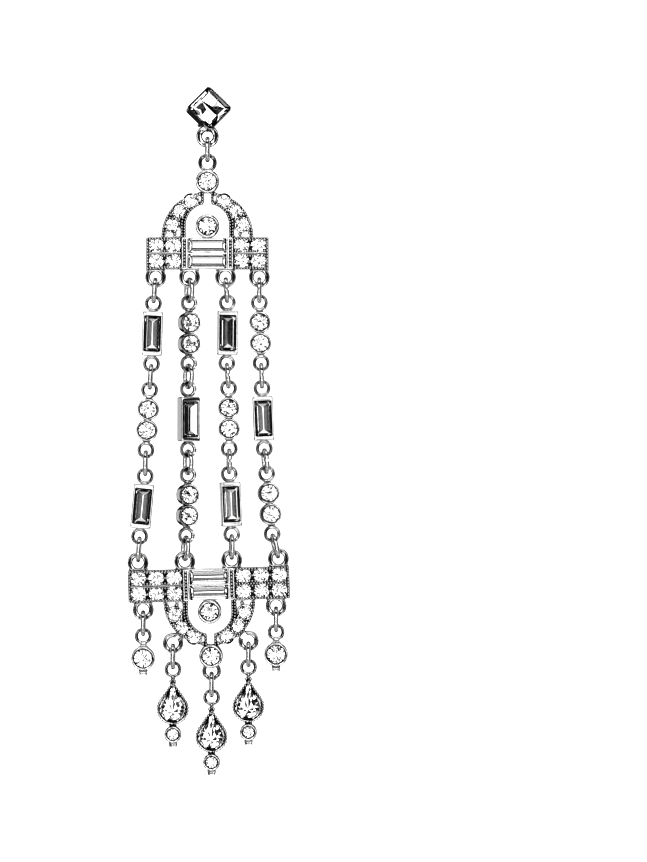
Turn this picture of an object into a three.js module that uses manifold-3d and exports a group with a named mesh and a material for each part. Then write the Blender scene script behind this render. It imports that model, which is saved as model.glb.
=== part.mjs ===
// Chandelier earring: a square stud, a jump ring, an arched upper plate, four strands of links,
// an inverted lower plate and five hanging drops. Cast white metal with clear foiled stones.
// Millimetres, +Z up, -Y towards the viewer. The origin is where the post leaves the stud's back.
import * as THREE from 'three'
import { mergeVertices } from 'three/addons/utils/BufferGeometryUtils.js'
import Module from 'manifold-3d'

const wasm = await Module()
wasm.setup()

// Fits
const RUNNING_GAP = 0.08 // between a jump ring's wire and the hole that it hangs in
const SEAT_GAP = 0.05 // round a stone in its seat

// Jump rings
const RING_WIRE = 0.68
const RING_INNER = 2.38
const RING_MEAN = RING_INNER + RING_WIRE

// Lugs, the cast loops that the rings pass through
const LUG_HOLE = 1.5
const LUG_WALL = 0.48
const TAB_HOLE = 1.6
const TAB_WALL = 0.72
const TAB_ROOT = 2.74 // width of a tab lug's flat side
const TAB_BITE = 0.1 // how far that side reaches into the bar
const END_LUG_WALL = 0.57
const ARCH_LUG_WALL = 0.68
const LUG_DEPTH = 0.76
const LUG_LIP = 0.4 // width of the hole's narrow inner edge

// Square stud
const STUD_WIDTH = 4.75
const STUD_DEPTH = 2
const STUD_RIM = 0.2
const STUD_CORNER = 0.4
const STUD_SEAT_DEPTH = 0.9
const STUD_YAW = 10
const STUD_PITCH = -10
const STUD_LUG_DROP = 3.71
const STUD_LUG_FORWARD = 1.3
const STUD_LUG_WALL = 0.88
const POST_DIAMETER = 0.75
const POST_LENGTH = 8.5

// Both plates
const SLAB_BACK = 0.7
const SLAB_FRONT = 0.7
const BAR_HEIGHT = 4.57
const UPPER_BAR_WIDTH = 17.5
const LOWER_BAR_WIDTH = 23.1
// The lugs' holes: the near ones from the middle, the others in from the bar's ends
const UPPER_NEAR_LUG = 2.57
const UPPER_FAR_INSET = 1.35
const LOWER_NEAR_LUG = 3.35
const LOWER_FAR_INSET = 1.52
const OUTER_DROP_INSET = 2.05
const BAR_LUG_REACH = 1.1 // from the bar's edge to the centre of a lug's hole
const ARCH_RADIUS = 6.57
const ARCH_OPENING = 3.08 // half width of the opening
const ARCH_SPRING = 1.71 // where the opening's straight sides end
const SLOT_WIDTH = 0.95
const SLOT_CLOSURE = 0.07 // metal left between the slot's top and the arch's outer edge
const ARCH_STONE_INSET = 1.17 // of the arch's stones, in from its outer edge
const ARCH_STONE_ANGLES = [20, 43.5, 67]
const ARCH_LUG_ANGLE = 48
const ARCH_LUG_REACH = 1.5
const CROWN_ROUND_STAND = 1.4 // of the crown round's centre above the arch
const UPPER_END_LUG = 2.7 // from the crown round's centre to the end lug's hole
const LOWER_END_LUG = 2.2
const HEART_ROUND_HEIGHT = 1.6
const LOWER_ROLL = -1.7
const LOWER_PITCH = 3
const LOWER_PLATE_SHIFT = 0.1

// Pave fields, rails and baguettes in a bar
const RAIL_INNER = 2.86
const RAIL_WIDTH = 0.8
const RAIL_RISE = 0.2
const FIELD_BORDER = 0.2
const FIELD_DEPTH = 0.25
const DIVIDER_WIDTH = 0.4
const PAVE_RADIUS = 1.06
const PAVE_TABLE = 0.62
const PAVE_RISE = 0.15 // how far a table stands above the slab's face
const PAVE_GIRDLE = 0.16 // how far a stone's straight side stands above its field's floor
const PAVE_ROOT = 0.25 // how far a stone reaches into the slab under its field's floor
const BAR_STONE_LENGTH = 5.3
const BAR_STONE_WIDTH = 1.95
const BAR_STONE_PITCH = 2.22

// Round settings
const ROUND_BACK = 0.75
const ROUND_RIM = 1.15
const CROWN_RISE = 0.32
const TABLE_SHARE = 0.56
const PLATE_ROUND = 1.7
const PLATE_ROUND_WALL = 0.4
const LINK_ROUND = 1.53
const LINK_ROUND_WALL = 0.15
const LINK_ROUND_PITCH = 3
const DROP_ROUND = 1.69
const DROP_ROUND_WALL = 0.33
const TAIL_ROUND = 1.22
const TAIL_ROUND_WALL = 0.36
const TAIL_RIM = 0.98

// Links
const LINK_PITCH = 8.63 // from hole to hole
const FRAME_WIDTH = 2.9
const FRAME_LENGTH = 6.38
const FRAME_BACK = 0.75
const FRAME_FRONT = 1.15
const LINK_STONE_WIDTH = 2.5
const LINK_STONE_LENGTH = 5.2
const STONE_SEAT_DEPTH = 1
const STONE_CORNER = 0.28
const STONE_TABLE_SHARE = 0.62 // a cut stone's table and back, to its girdle
const STONE_BACK_SHARE = 0.72
const GIRDLE_SHARE = 0.3 // of the seat's depth
const SPINE_WIDTH = 1
const SPINE_DEPTH = 0.5

// Drops
const DROP_ROUND_REACH = 3.14
const NUB_WIDTH = 1.3
const NUB_HEIGHT = 0.8
const TAIL_NUB_HEIGHT = 0.65
const NECK_WIDTH = 1.1
const PEAR_HALF_WIDTH = 2.27
const PEAR_TIP = 3.87 // from the widest point up to the tip
const PEAR_REACH = 5.59 // from the lug's hole down to the widest point
const PEAR_WALL = 0.3
const PEAR_TIP_WALL = 0.15
const TAIL_ROUND_GAP = 0.18 // between the pear and the small round under it

// The four strands, from left to right. Sway is how far a link's upper and lower hole stand beside
// the straight line between the two plates, as a share of the link's length. Yaw is in degrees.
const STRANDS = [
  {
    yaw: [0, 0, 0, 0],
    links: [
      { kind: 'baguette', yaw: 0, swayTop: -0.01, swayBottom: 0.02 },
      { kind: 'round', yaw: 0, swayTop: 0.015, swayBottom: 0.015 },
      { kind: 'baguette', yaw: 0, swayTop: 0.03, swayBottom: 0 },
    ],
  },
  {
    yaw: [18, 20, 20, 16],
    links: [
      { kind: 'round', yaw: 20, swayTop: 0, swayBottom: 0.01 },
      { kind: 'baguette', yaw: 22, swayTop: 0.01, swayBottom: 0.025 },
      { kind: 'round', yaw: 20, swayTop: 0.03, swayBottom: 0.02 },
    ],
  },
  {
    yaw: [4, 4, 5, 6],
    links: [
      { kind: 'baguette', yaw: 8, swayTop: 0.02, swayBottom: -0.01 },
      { kind: 'round', yaw: 2, swayTop: 0.01, swayBottom: 0 },
      { kind: 'baguette', yaw: 10, swayTop: -0.01, swayBottom: 0.01 },
    ],
  },
  {
    yaw: [0, 2, 10, 8],
    links: [
      { kind: 'round', yaw: 0, swayTop: -0.027, swayBottom: -0.065 },
      { kind: 'baguette', yaw: 3, swayTop: -0.08, swayBottom: -0.11 },
      { kind: 'round', yaw: 8, swayTop: -0.1, swayBottom: -0.075 },
    ],
  },
]

// Places that follow from these sizes
const UPPER_FAR_LUG = UPPER_BAR_WIDTH / 2 - UPPER_FAR_INSET
const LOWER_FAR_LUG = LOWER_BAR_WIDTH / 2 - LOWER_FAR_INSET
const OUTER_DROP_LUG = LOWER_BAR_WIDTH / 2 - OUTER_DROP_INSET
const SLOT_TOP = ARCH_RADIUS - SLOT_CLOSURE
const ARCH_STONE_RADIUS = ARCH_RADIUS - ARCH_STONE_INSET
const CROWN_ROUND_HEIGHT = ARCH_RADIUS + CROWN_ROUND_STAND

// Facets
const RING_SIDES = 12
const WIRE_SIDES = 5
const ROUND_SIDES = 10
const PAVE_SIDES = 8
const OPENING_STEPS = 3
const ARCH_STEPS = 9
const PEAR_STEPS = 6
const POST_SIDES = 12
const SLACK_ROUNDS = 20 // of working out a strand's slack

const METAL = new THREE.MeshStandardMaterial({ color: 0xb9bcc0, metalness: 1, roughness: 0.25 })
const STONE = new THREE.MeshStandardMaterial({ color: 0xe9edf2, metalness: 0, roughness: 0.05 })

const UP = new THREE.Vector3(0, 0, 1)

const degrees = (angle) => THREE.MathUtils.degToRad(angle)

// Small helpers: solids, meshes and the plain shapes that the pieces are made of

function solidOf(geometry) {
  const bare = geometry.index ? geometry.toNonIndexed() : geometry.clone()
  bare.deleteAttribute('normal')
  bare.deleteAttribute('uv')
  const merged = mergeVertices(bare, 1e-5)
  const vertProperties = new Float32Array(merged.attributes.position.array)
  const triVerts = new Uint32Array(merged.index.array)
  return new wasm.Manifold(new wasm.Mesh({ numProp: 3, vertProperties, triVerts }))
}

function geometryOf(solid) {
  const mesh = solid.getMesh()
  const geometry = new THREE.BufferGeometry()
  geometry.setAttribute('position', new THREE.BufferAttribute(new Float32Array(mesh.vertProperties), 3))
  geometry.setIndex(new THREE.BufferAttribute(new Uint32Array(mesh.triVerts), 1))
  geometry.computeVertexNormals()
  return geometry
}

function join(solids) {
  return solids.reduce((whole, piece) => whole.add(piece))
}

function piece(name, solid, material) {
  const mesh = new THREE.Mesh(geometryOf(solid), material)
  mesh.name = name
  return mesh
}

// A box between two corners given as [x, y, z].
function block(low, high) {
  const size = high.map((value, axis) => value - low[axis])
  const middle = high.map((value, axis) => (value + low[axis]) / 2)
  return solidOf(new THREE.BoxGeometry(...size).translate(...middle))
}

// The corners of an outline, each point once.
function corners(path, steps) {
  const points = path.getPoints(steps)
  const apart = (a, b) => a.distanceTo(b) > 1e-4
  const single = points.filter((point, index) => index === 0 || apart(point, points[index - 1]))
  return single.filter((point, index) => index === 0 || apart(point, single[0]))
}

// A shape drawn in X and Z, with its front face at y = -front and its back face at y = back.
function plateOf(shape, back, front, steps = 1) {
  const outline = new THREE.Shape(corners(shape, steps))
  const options = { depth: back + front, bevelEnabled: false }
  return solidOf(new THREE.ExtrudeGeometry(outline, options).rotateX(Math.PI / 2).translate(0, back, 0))
}

// A body turned about the Y axis from [radius, y] points, which run from the front to the back.
function turned(points, sides = ROUND_SIDES) {
  const profile = points.map(([radius, y]) => new THREE.Vector2(radius, y))
  return solidOf(new THREE.LatheGeometry(profile, sides))
}

// A loop about the Y axis whose inner edge is narrow, so that a ring can swing in it.
function lugAt(x, z, hole = LUG_HOLE, wall = LUG_WALL) {
  const inner = hole / 2
  const outer = inner + wall
  const section = [
    [inner, -LUG_LIP / 2],
    [outer, -LUG_DEPTH / 2],
    [outer, LUG_DEPTH / 2],
    [inner, LUG_LIP / 2],
    [inner, -LUG_LIP / 2],
  ]
  return turned(section).translate([x, 0, z])
}

// The root that joins a lug's outer half to its carrier: a block of the lug's depth below z.
function rootAt(x, z, width, length) {
  return block([x - width / 2, -LUG_DEPTH / 2, z - length], [x + width / 2, LUG_DEPTH / 2, z])
}

// A round setting with its stone, seen from the front: rim, crown facets and table.
function roundAt(x, z, radius, wall, back = ROUND_BACK, rim = ROUND_RIM) {
  const stone = radius - wall
  const profile = [
    [0, -rim - CROWN_RISE],
    [stone * TABLE_SHARE, -rim - CROWN_RISE],
    [stone, -rim],
    [radius, -rim],
    [radius, back],
    [0, back],
  ]
  return turned(profile).translate([x, 0, z])
}

// A pave stone: a table with eight crown facets, standing in the slab's recessed field.
function paveAt(x, z) {
  const top = -SLAB_FRONT - PAVE_RISE
  const floor = -SLAB_FRONT + FIELD_DEPTH
  const profile = [
    [0, top],
    [PAVE_TABLE, top],
    [PAVE_RADIUS, floor - PAVE_GIRDLE],
    [PAVE_RADIUS, floor + PAVE_ROOT],
    [0, floor + PAVE_ROOT],
  ]
  return turned(profile, PAVE_SIDES).rotate([0, 180 / PAVE_SIDES, 0]).translate([x, 0, z])
}

// A rectangle in X and Z with cut corners.
function cutRectangle(width, height, corner) {
  const shape = new THREE.Shape()
  const [w, h] = [width / 2, height / 2]
  shape.moveTo(-w + corner, -h)
  shape.lineTo(w - corner, -h)
  shape.lineTo(w, -h + corner)
  shape.lineTo(w, h - corner)
  shape.lineTo(w - corner, h)
  shape.lineTo(-w + corner, h)
  shape.lineTo(-w, h - corner)
  shape.lineTo(-w, -h + corner)
  shape.closePath()
  return shape
}

// A pear's outline: a circle below, and two straight sides that touch it and meet in the tip above.
function pearShape(halfWidth, tip) {
  const touch = Math.asin(halfWidth / tip)
  const shape = new THREE.Shape()
  shape.absarc(0, 0, halfWidth, Math.PI - touch, 2 * Math.PI + touch, false)
  shape.lineTo(0, tip)
  shape.closePath()
  return shape
}

// A faceted stone over an outline: layers of the same points, each at its own depth and inset.
function facetedStone(outline, layers) {
  const count = outline.length
  const centre = outline.reduce((sum, p) => sum.add(p), new THREE.Vector2()).divideScalar(count)
  const positions = []
  const corner = (layer, index) => {
    const point = outline[index % count].clone().sub(centre).multiplyScalar(layer.scale).add(centre)
    return [point.x, layer.y, point.y]
  }
  const triangle = (a, b, c) => positions.push(...a, ...b, ...c)
  for (let index = 0; index < count; index += 1) {
    const front = layers[0]
    const back = layers[layers.length - 1]
    triangle([centre.x, front.y, centre.y], corner(front, index), corner(front, index + 1))
    triangle([centre.x, back.y, centre.y], corner(back, index + 1), corner(back, index))
    layers.slice(1).forEach((next, step) => {
      const last = layers[step]
      triangle(corner(last, index), corner(next, index), corner(next, index + 1))
      triangle(corner(last, index), corner(next, index + 1), corner(last, index + 1))
    })
  }
  const geometry = new THREE.BufferGeometry()
  geometry.setAttribute('position', new THREE.BufferAttribute(new Float32Array(positions), 3))
  return solidOf(geometry)
}

// Table, crown, girdle and a shallow foiled back, from the front rim's depth to the seat's floor.
function stoneLayers(rim, seatDepth) {
  return [
    { y: -rim - CROWN_RISE, scale: STONE_TABLE_SHARE },
    { y: -rim, scale: 1 },
    { y: -rim + seatDepth * GIRDLE_SHARE, scale: 1 },
    { y: -rim + seatDepth - SEAT_GAP, scale: STONE_BACK_SHARE },
  ]
}

function seatedStone(width, height, rim, seatDepth) {
  const outline = corners(cutRectangle(width, height, STONE_CORNER), 1)
  return facetedStone(outline, stoneLayers(rim, seatDepth))
}

// A seat for a stone of this size, with its gap, sunk from the front face.
function seatFor(width, height, front, seatDepth) {
  const gap = 2 * SEAT_GAP
  const outline = cutRectangle(width + gap, height + gap, STONE_CORNER)
  return plateOf(outline, -front + seatDepth, front + CROWN_RISE)
}

// Jump ring in the YZ plane about its own centre
function jumpRing(name) {
  const wire = RING_WIRE / 2
  const torus = new THREE.TorusGeometry(RING_INNER / 2 + wire, wire, WIRE_SIDES, RING_SIDES)
  return piece(name, solidOf(torus.rotateY(Math.PI / 2)), METAL)
}

// From a ring's wire centre to the centre of the hole that it hangs in, and from hole to hole
const hangOffset = (hole) => (hole - RING_WIRE) / 2 - RUNNING_GAP
const ringSpan = (upperHole, lowerHole) => RING_MEAN + hangOffset(upperHole) + hangOffset(lowerHole)

// Stud: setting, lug and post in one casting, and its stone
function stud() {
  const turn = new THREE.Group()
  turn.rotation.set(degrees(STUD_PITCH), 0, degrees(STUD_YAW), 'ZXY')
  turn.updateMatrix()
  const outline = cutRectangle(STUD_WIDTH, STUD_WIDTH, STUD_CORNER)
  const stoneSide = STUD_WIDTH - 2 * STUD_RIM - 2 * SEAT_GAP
  const seat = cutRectangle(STUD_WIDTH - 2 * STUD_RIM, STUD_WIDTH - 2 * STUD_RIM, STONE_CORNER)
  const postRadius = POST_DIAMETER / 2
  const post = new THREE.CylinderGeometry(postRadius, postRadius, POST_LENGTH, POST_SIDES)
  post.translate(0, POST_LENGTH / 2, 0)
  const foot = new THREE.CylinderGeometry(postRadius, postRadius, SEAT_GAP, POST_SIDES)
  foot.translate(0, -SEAT_GAP / 2, 0)
  const box = plateOf(outline, 0, STUD_DEPTH).subtract(
    plateOf(seat, -STUD_DEPTH + STUD_SEAT_DEPTH, STUD_DEPTH + CROWN_RISE),
  )
  const onPost = join([box.rotate([0, 45, 0]), solidOf(foot), solidOf(post)])
  const placed = onPost.transform(turn.matrix.toArray())
  const lug = lugAt(0, -STUD_LUG_DROP, LUG_HOLE, STUD_LUG_WALL).translate([0, -STUD_LUG_FORWARD, 0])
  const stoneOutline = corners(cutRectangle(stoneSide, stoneSide, STONE_CORNER), 1)
  const stone = facetedStone(stoneOutline, stoneLayers(STUD_DEPTH, STUD_SEAT_DEPTH))
    .rotate([0, 45, 0])
    .transform(turn.matrix.toArray())
  return [piece('stud_setting', placed.add(lug), METAL), piece('stud_stone', stone, STONE)]
}

// Plates, drawn with the arch above the bar and the bar's arch-side edge at z = 0

function archSlab(barWidth) {
  const shape = new THREE.Shape()
  shape.moveTo(-barWidth / 2, -BAR_HEIGHT)
  shape.lineTo(barWidth / 2, -BAR_HEIGHT)
  shape.lineTo(barWidth / 2, 0)
  shape.lineTo(ARCH_RADIUS, 0)
  shape.absarc(0, 0, ARCH_RADIUS, 0, Math.PI, false)
  shape.lineTo(-barWidth / 2, 0)
  shape.closePath()
  const half = SLOT_WIDTH / 2
  const mouth = Math.acos(half / ARCH_OPENING)
  const opening = new THREE.Shape()
  opening.moveTo(-ARCH_OPENING, 0)
  opening.lineTo(ARCH_OPENING, 0)
  opening.absarc(0, ARCH_SPRING, ARCH_OPENING, 0, mouth, false)
  opening.lineTo(half, SLOT_TOP)
  opening.lineTo(-half, SLOT_TOP)
  opening.absarc(0, ARCH_SPRING, ARCH_OPENING, Math.PI - mouth, Math.PI, false)
  opening.closePath()
  const hole = plateOf(opening, SLAB_BACK + SLAB_FRONT, 2 * SLAB_FRONT, OPENING_STEPS)
  return plateOf(shape, SLAB_BACK, SLAB_FRONT, ARCH_STEPS).subtract(hole)
}

const barStoneCentres = [-1, 1].map((side) => -BAR_HEIGHT / 2 + (side * BAR_STONE_PITCH) / 2)

// The recessed field outside a rail, with its divider and two rows of stones
function fieldOf(side, barWidth, columns) {
  const start = RAIL_INNER + RAIL_WIDTH
  const end = barWidth / 2 - FIELD_BORDER
  const [low, high] = side > 0 ? [start, end] : [-end, -start]
  const floor = -SLAB_FRONT + FIELD_DEPTH
  const middle = -BAR_HEIGHT / 2
  const recess = block(
    [low, -SLAB_FRONT - RAIL_RISE, -BAR_HEIGHT + FIELD_BORDER],
    [high, floor, -FIELD_BORDER],
  )
  const divider = block(
    [low, -SLAB_FRONT, middle - DIVIDER_WIDTH / 2],
    [high, 0, middle + DIVIDER_WIDTH / 2],
  )
  const pitch = (end - start) / columns
  const row = (BAR_HEIGHT / 2 - FIELD_BORDER + DIVIDER_WIDTH / 2) / 2
  const stones = []
  for (let column = 0; column < columns; column += 1) {
    const x = side * (start + pitch * (column + 0.5))
    stones.push(paveAt(x, middle + row), paveAt(x, middle - row))
  }
  return { recess, added: [divider, ...stones] }
}

function plate(barWidth, columns, lugs) {
  const fields = [-1, 1].map((side) => fieldOf(side, barWidth, columns))
  const rails = [-1, 1].map((side) => {
    const edges = [side * RAIL_INNER, side * (RAIL_INNER + RAIL_WIDTH)].sort((a, b) => a - b)
    return block([edges[0], -SLAB_FRONT - RAIL_RISE, -BAR_HEIGHT], [edges[1], 0, 0])
  })
  const archStones = [-1, 1].flatMap((side) =>
    ARCH_STONE_ANGLES.map((angle) => {
      const x = side * ARCH_STONE_RADIUS * Math.cos(degrees(angle))
      return paveAt(x, ARCH_STONE_RADIUS * Math.sin(degrees(angle)))
    }),
  )
  const seats = barStoneCentres.map((z) =>
    seatFor(BAR_STONE_LENGTH, BAR_STONE_WIDTH, SLAB_FRONT, STONE_SEAT_DEPTH).translate([0, 0, z]),
  )
  const slab = fields.reduce((body, field) => body.subtract(field.recess), archSlab(barWidth))
  const seated = seats.reduce((body, seat) => body.subtract(seat), slab)
  return join([
    seated,
    ...fields.flatMap((field) => field.added),
    ...rails,
    ...archStones,
    roundAt(0, HEART_ROUND_HEIGHT, PLATE_ROUND, PLATE_ROUND_WALL, SLAB_BACK),
    roundAt(0, CROWN_ROUND_HEIGHT, PLATE_ROUND, PLATE_ROUND_WALL, SLAB_BACK),
    ...lugs,
  ])
}

// A tab lug on the bar's far edge (side -1) or on its edge beside the arch (side 1)
function barLug(x, side) {
  const edge = side < 0 ? -BAR_HEIGHT : 0
  const z = edge + side * BAR_LUG_REACH
  const length = BAR_LUG_REACH - TAB_HOLE / 2 + TAB_BITE
  const root = rootAt(x, edge + (side < 0 ? TAB_BITE : length - TAB_BITE), TAB_ROOT, length)
  return join([lugAt(x, z, TAB_HOLE, TAB_WALL), root])
}

// The lug past the crown round, on the plate's axis, with a neck that runs into the round
function endLug(reach) {
  const z = CROWN_ROUND_HEIGHT + reach
  const clear = TAB_HOLE / 2
  return join([lugAt(0, z, TAB_HOLE, END_LUG_WALL), rootAt(0, z - clear, NECK_WIDTH, reach - clear)])
}

// A lug on the arch's outer edge, square to the arch
function archLug(side) {
  const reach = ARCH_RADIUS + ARCH_LUG_REACH
  const neck = rootAt(0, reach - TAB_HOLE / 2, NECK_WIDTH, ARCH_LUG_REACH - TAB_HOLE / 2 + LUG_WALL)
  const lug = join([lugAt(0, reach, TAB_HOLE, ARCH_LUG_WALL), neck])
  return lug.rotate([0, side * (90 - ARCH_LUG_ANGLE), 0])
}

function barStones(prefix) {
  return barStoneCentres.map((z, index) => {
    const stone = seatedStone(BAR_STONE_LENGTH, BAR_STONE_WIDTH, SLAB_FRONT, STONE_SEAT_DEPTH)
    return piece(`${prefix}_baguette_${index + 1}`, stone.translate([0, 0, z]), STONE)
  })
}

// Upper plate: its frame's origin is the end lug's hole
function upperPlate() {
  const group = new THREE.Group()
  const lugs = [UPPER_NEAR_LUG, UPPER_FAR_LUG].flatMap((x) => [barLug(-x, -1), barLug(x, -1)])
  const body = plate(UPPER_BAR_WIDTH, 2, [...lugs, endLug(UPPER_END_LUG)])
  const drop = CROWN_ROUND_HEIGHT + UPPER_END_LUG
  group.add(piece('upper_plate', body, METAL), ...barStones('upper'))
  group.children.forEach((mesh) => mesh.position.set(0, 0, -drop))
  return group
}

// Lower plate, arch down: its frame's origin is the middle of its row of upper holes
function lowerPlate() {
  const group = new THREE.Group()
  const lugs = [
    ...[LOWER_NEAR_LUG, LOWER_FAR_LUG].flatMap((x) => [barLug(-x, -1), barLug(x, -1)]),
    barLug(-OUTER_DROP_LUG, 1),
    barLug(OUTER_DROP_LUG, 1),
    archLug(-1),
    archLug(1),
    endLug(LOWER_END_LUG),
  ]
  const body = plate(LOWER_BAR_WIDTH, 3, lugs)
  group.add(piece('lower_plate', body, METAL), ...barStones('lower'))
  group.children.forEach((mesh) => {
    mesh.rotation.set(0, Math.PI, 0)
    mesh.position.set(0, 0, -BAR_LUG_REACH - BAR_HEIGHT)
  })
  return group
}

// Links hang from the hole at their frame's origin down to the hole at -LINK_PITCH

function roundLink(name) {
  const middle = -LINK_PITCH / 2
  const clear = (LUG_HOLE + LUG_WALL) / 2
  const spine = block(
    [-SPINE_WIDTH / 2, -SPINE_DEPTH / 2, -LINK_PITCH + clear],
    [SPINE_WIDTH / 2, SPINE_DEPTH / 2, -clear],
  )
  const rounds = [-1, 1].map((side) =>
    roundAt(0, middle + (side * LINK_ROUND_PITCH) / 2, LINK_ROUND, LINK_ROUND_WALL),
  )
  return [piece(name, join([...rounds, spine, lugAt(0, 0), lugAt(0, -LINK_PITCH)]), METAL)]
}

function baguetteLink(name, stoneName) {
  const middle = -LINK_PITCH / 2
  const clear = (LUG_HOLE + LUG_WALL) / 2
  const outline = cutRectangle(FRAME_WIDTH, FRAME_LENGTH, STONE_CORNER)
  const seat = seatFor(LINK_STONE_WIDTH, LINK_STONE_LENGTH, FRAME_FRONT, STONE_SEAT_DEPTH)
  const frame = join([
    plateOf(outline, FRAME_BACK, FRAME_FRONT).translate([0, 0, middle]),
    rootAt(0, -clear, NECK_WIDTH, LINK_PITCH - 2 * clear),
    lugAt(0, 0),
    lugAt(0, -LINK_PITCH),
  ]).subtract(seat.translate([0, 0, middle]))
  const stone = seatedStone(LINK_STONE_WIDTH, LINK_STONE_LENGTH, FRAME_FRONT, STONE_SEAT_DEPTH)
  return [piece(name, frame, METAL), piece(stoneName, stone.translate([0, 0, middle]), STONE)]
}

// Drops hang from the hole at their frame's origin

function roundDrop(name) {
  const low = -DROP_ROUND_REACH - DROP_ROUND
  const neck = rootAt(0, -LUG_HOLE / 2, NECK_WIDTH, DROP_ROUND_REACH - LUG_HOLE / 2)
  const nub = rootAt(0, low + DROP_ROUND_WALL / 2, NUB_WIDTH, NUB_HEIGHT + DROP_ROUND_WALL / 2)
  const setting = roundAt(0, -DROP_ROUND_REACH, DROP_ROUND, DROP_ROUND_WALL)
  return [piece(name, join([setting, neck, nub, lugAt(0, 0)]), METAL)]
}

function pearDrop(name, stoneName) {
  const body = plateOf(pearShape(PEAR_HALF_WIDTH, PEAR_TIP), FRAME_BACK, FRAME_FRONT, PEAR_STEPS)
  const stoneHalf = PEAR_HALF_WIDTH - PEAR_WALL - SEAT_GAP
  const stoneTip = PEAR_TIP - PEAR_TIP_WALL - 2 * SEAT_GAP
  const seatOutline = pearShape(stoneHalf + SEAT_GAP, stoneTip + 2 * SEAT_GAP)
  const seatFloor = -FRAME_FRONT + STONE_SEAT_DEPTH
  const seat = plateOf(seatOutline, seatFloor, FRAME_FRONT + CROWN_RISE, PEAR_STEPS)
  const outline = corners(pearShape(stoneHalf, stoneTip), PEAR_STEPS)
  const stone = facetedStone(outline, stoneLayers(FRAME_FRONT, STONE_SEAT_DEPTH))
  const neckTop = PEAR_REACH - LUG_HOLE / 2
  const neck = rootAt(0, neckTop, NECK_WIDTH, neckTop - PEAR_TIP + PEAR_TIP_WALL)
  const tail = -PEAR_HALF_WIDTH - TAIL_ROUND_GAP - TAIL_ROUND
  const tailNeck = rootAt(0, -PEAR_HALF_WIDTH + PEAR_WALL / 2, NECK_WIDTH, TAIL_ROUND)
  const nubTop = tail - TAIL_ROUND + TAIL_ROUND_WALL / 2
  const setting = join([
    body.subtract(seat),
    neck,
    tailNeck,
    roundAt(0, tail, TAIL_ROUND, TAIL_ROUND_WALL, ROUND_BACK, TAIL_RIM),
    rootAt(0, nubTop, NUB_WIDTH, TAIL_NUB_HEIGHT + TAIL_ROUND_WALL / 2),
    lugAt(0, PEAR_REACH),
  ]).translate([0, 0, -PEAR_REACH])
  return [
    piece(name, setting, METAL),
    piece(stoneName, stone.translate([0, 0, -PEAR_REACH]), STONE),
  ]
}

// Placing pieces along a hanging line: lean is taken from the way down, yaw is about that line
function hang(pieces, from, to, yaw) {
  const group = new THREE.Group()
  group.position.copy(from)
  group.rotation.set(0, Math.atan2(from.x - to.x, from.z - to.z), degrees(yaw), 'YXZ')
  group.add(...pieces)
  return group
}

// A jump ring between two holes: its centre stands at the same share of the way as when it is taut.
function ringBetween(name, upper, lower, yaw, upperHoleSize, lowerHoleSize) {
  const share = (hangOffset(upperHoleSize) + RING_MEAN / 2) / ringSpan(upperHoleSize, lowerHoleSize)
  const centre = upper.clone().lerp(lower, share)
  return hang([jumpRing(name)], centre, centre.clone().add(lower).sub(upper), yaw)
}

// Holes along a strand, from the upper plate's hole to the lower plate's, for a ring span.
// The depth is worked out from each piece's length and its sideways step. Slack is taken off each ring.
function strandHoles(strand, topX, bottomX, slack) {
  const sizes = [TAB_HOLE, ...strand.links.map(() => LUG_HOLE), TAB_HOLE]
  const spans = sizes.slice(1).map((size, index) => ringSpan(sizes[index], size) - slack)
  const lengths = spans.flatMap((span) => [span, LINK_PITCH]).slice(0, -1)
  const sways = strand.links.flatMap((link) => [link.swayTop, link.swayBottom]).concat(0)
  const total = lengths.reduce((sum, length) => sum + length)
  let [along, x, depth] = [0, topX, 0]
  const holes = [{ x, depth }]
  lengths.forEach((length, index) => {
    along += length
    const next = topX + ((bottomX - topX) * along) / total + sways[index] * LINK_PITCH
    depth += Math.sqrt(length * length - (next - x) ** 2)
    x = next
    holes.push({ x, depth })
  })
  return holes
}

const strandDepth = (holes) => holes[holes.length - 1].depth

// The slack that makes a strand just as deep as the way between its two holes
function slackOf(strand, topX, bottomX, depth) {
  let slack = 0
  for (let round = 0; round < SLACK_ROUNDS; round += 1) {
    const excess = strandDepth(strandHoles(strand, topX, bottomX, slack)) - depth
    slack += excess / (strand.links.length + 1)
  }
  return slack
}

const group = new THREE.Group()
group.add(...stud())

const studHole = new THREE.Vector3(0, -STUD_LUG_FORWARD, -STUD_LUG_DROP)
const upperHole = studHole.clone()
upperHole.z -= ringSpan(LUG_HOLE, TAB_HOLE)

group.add(ringBetween('top_ring', studHole, upperHole, 0, LUG_HOLE, TAB_HOLE))

const upper = upperPlate()
upper.position.copy(upperHole)
group.add(upper)

// Holes on the upper plate's lower edge
const upperDrop = CROWN_ROUND_HEIGHT + UPPER_END_LUG + BAR_HEIGHT + BAR_LUG_REACH
const topHoles = [-UPPER_FAR_LUG, -UPPER_NEAR_LUG, UPPER_NEAR_LUG, UPPER_FAR_LUG].map((x) =>
  new THREE.Vector3(x, 0, -upperDrop).add(upperHole),
)

// Lower plate, rolled and pitched about the middle of its upper row of holes
const lower = lowerPlate()
lower.rotation.set(degrees(LOWER_PITCH), degrees(LOWER_ROLL), 0, 'YXZ')
const lowerRow = [-LOWER_FAR_LUG, -LOWER_NEAR_LUG, LOWER_NEAR_LUG, LOWER_FAR_LUG].map((x) =>
  new THREE.Vector3(x, 0, 0).applyEuler(lower.rotation),
)
const lowerX = upperHole.x + LOWER_PLATE_SHIFT
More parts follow.
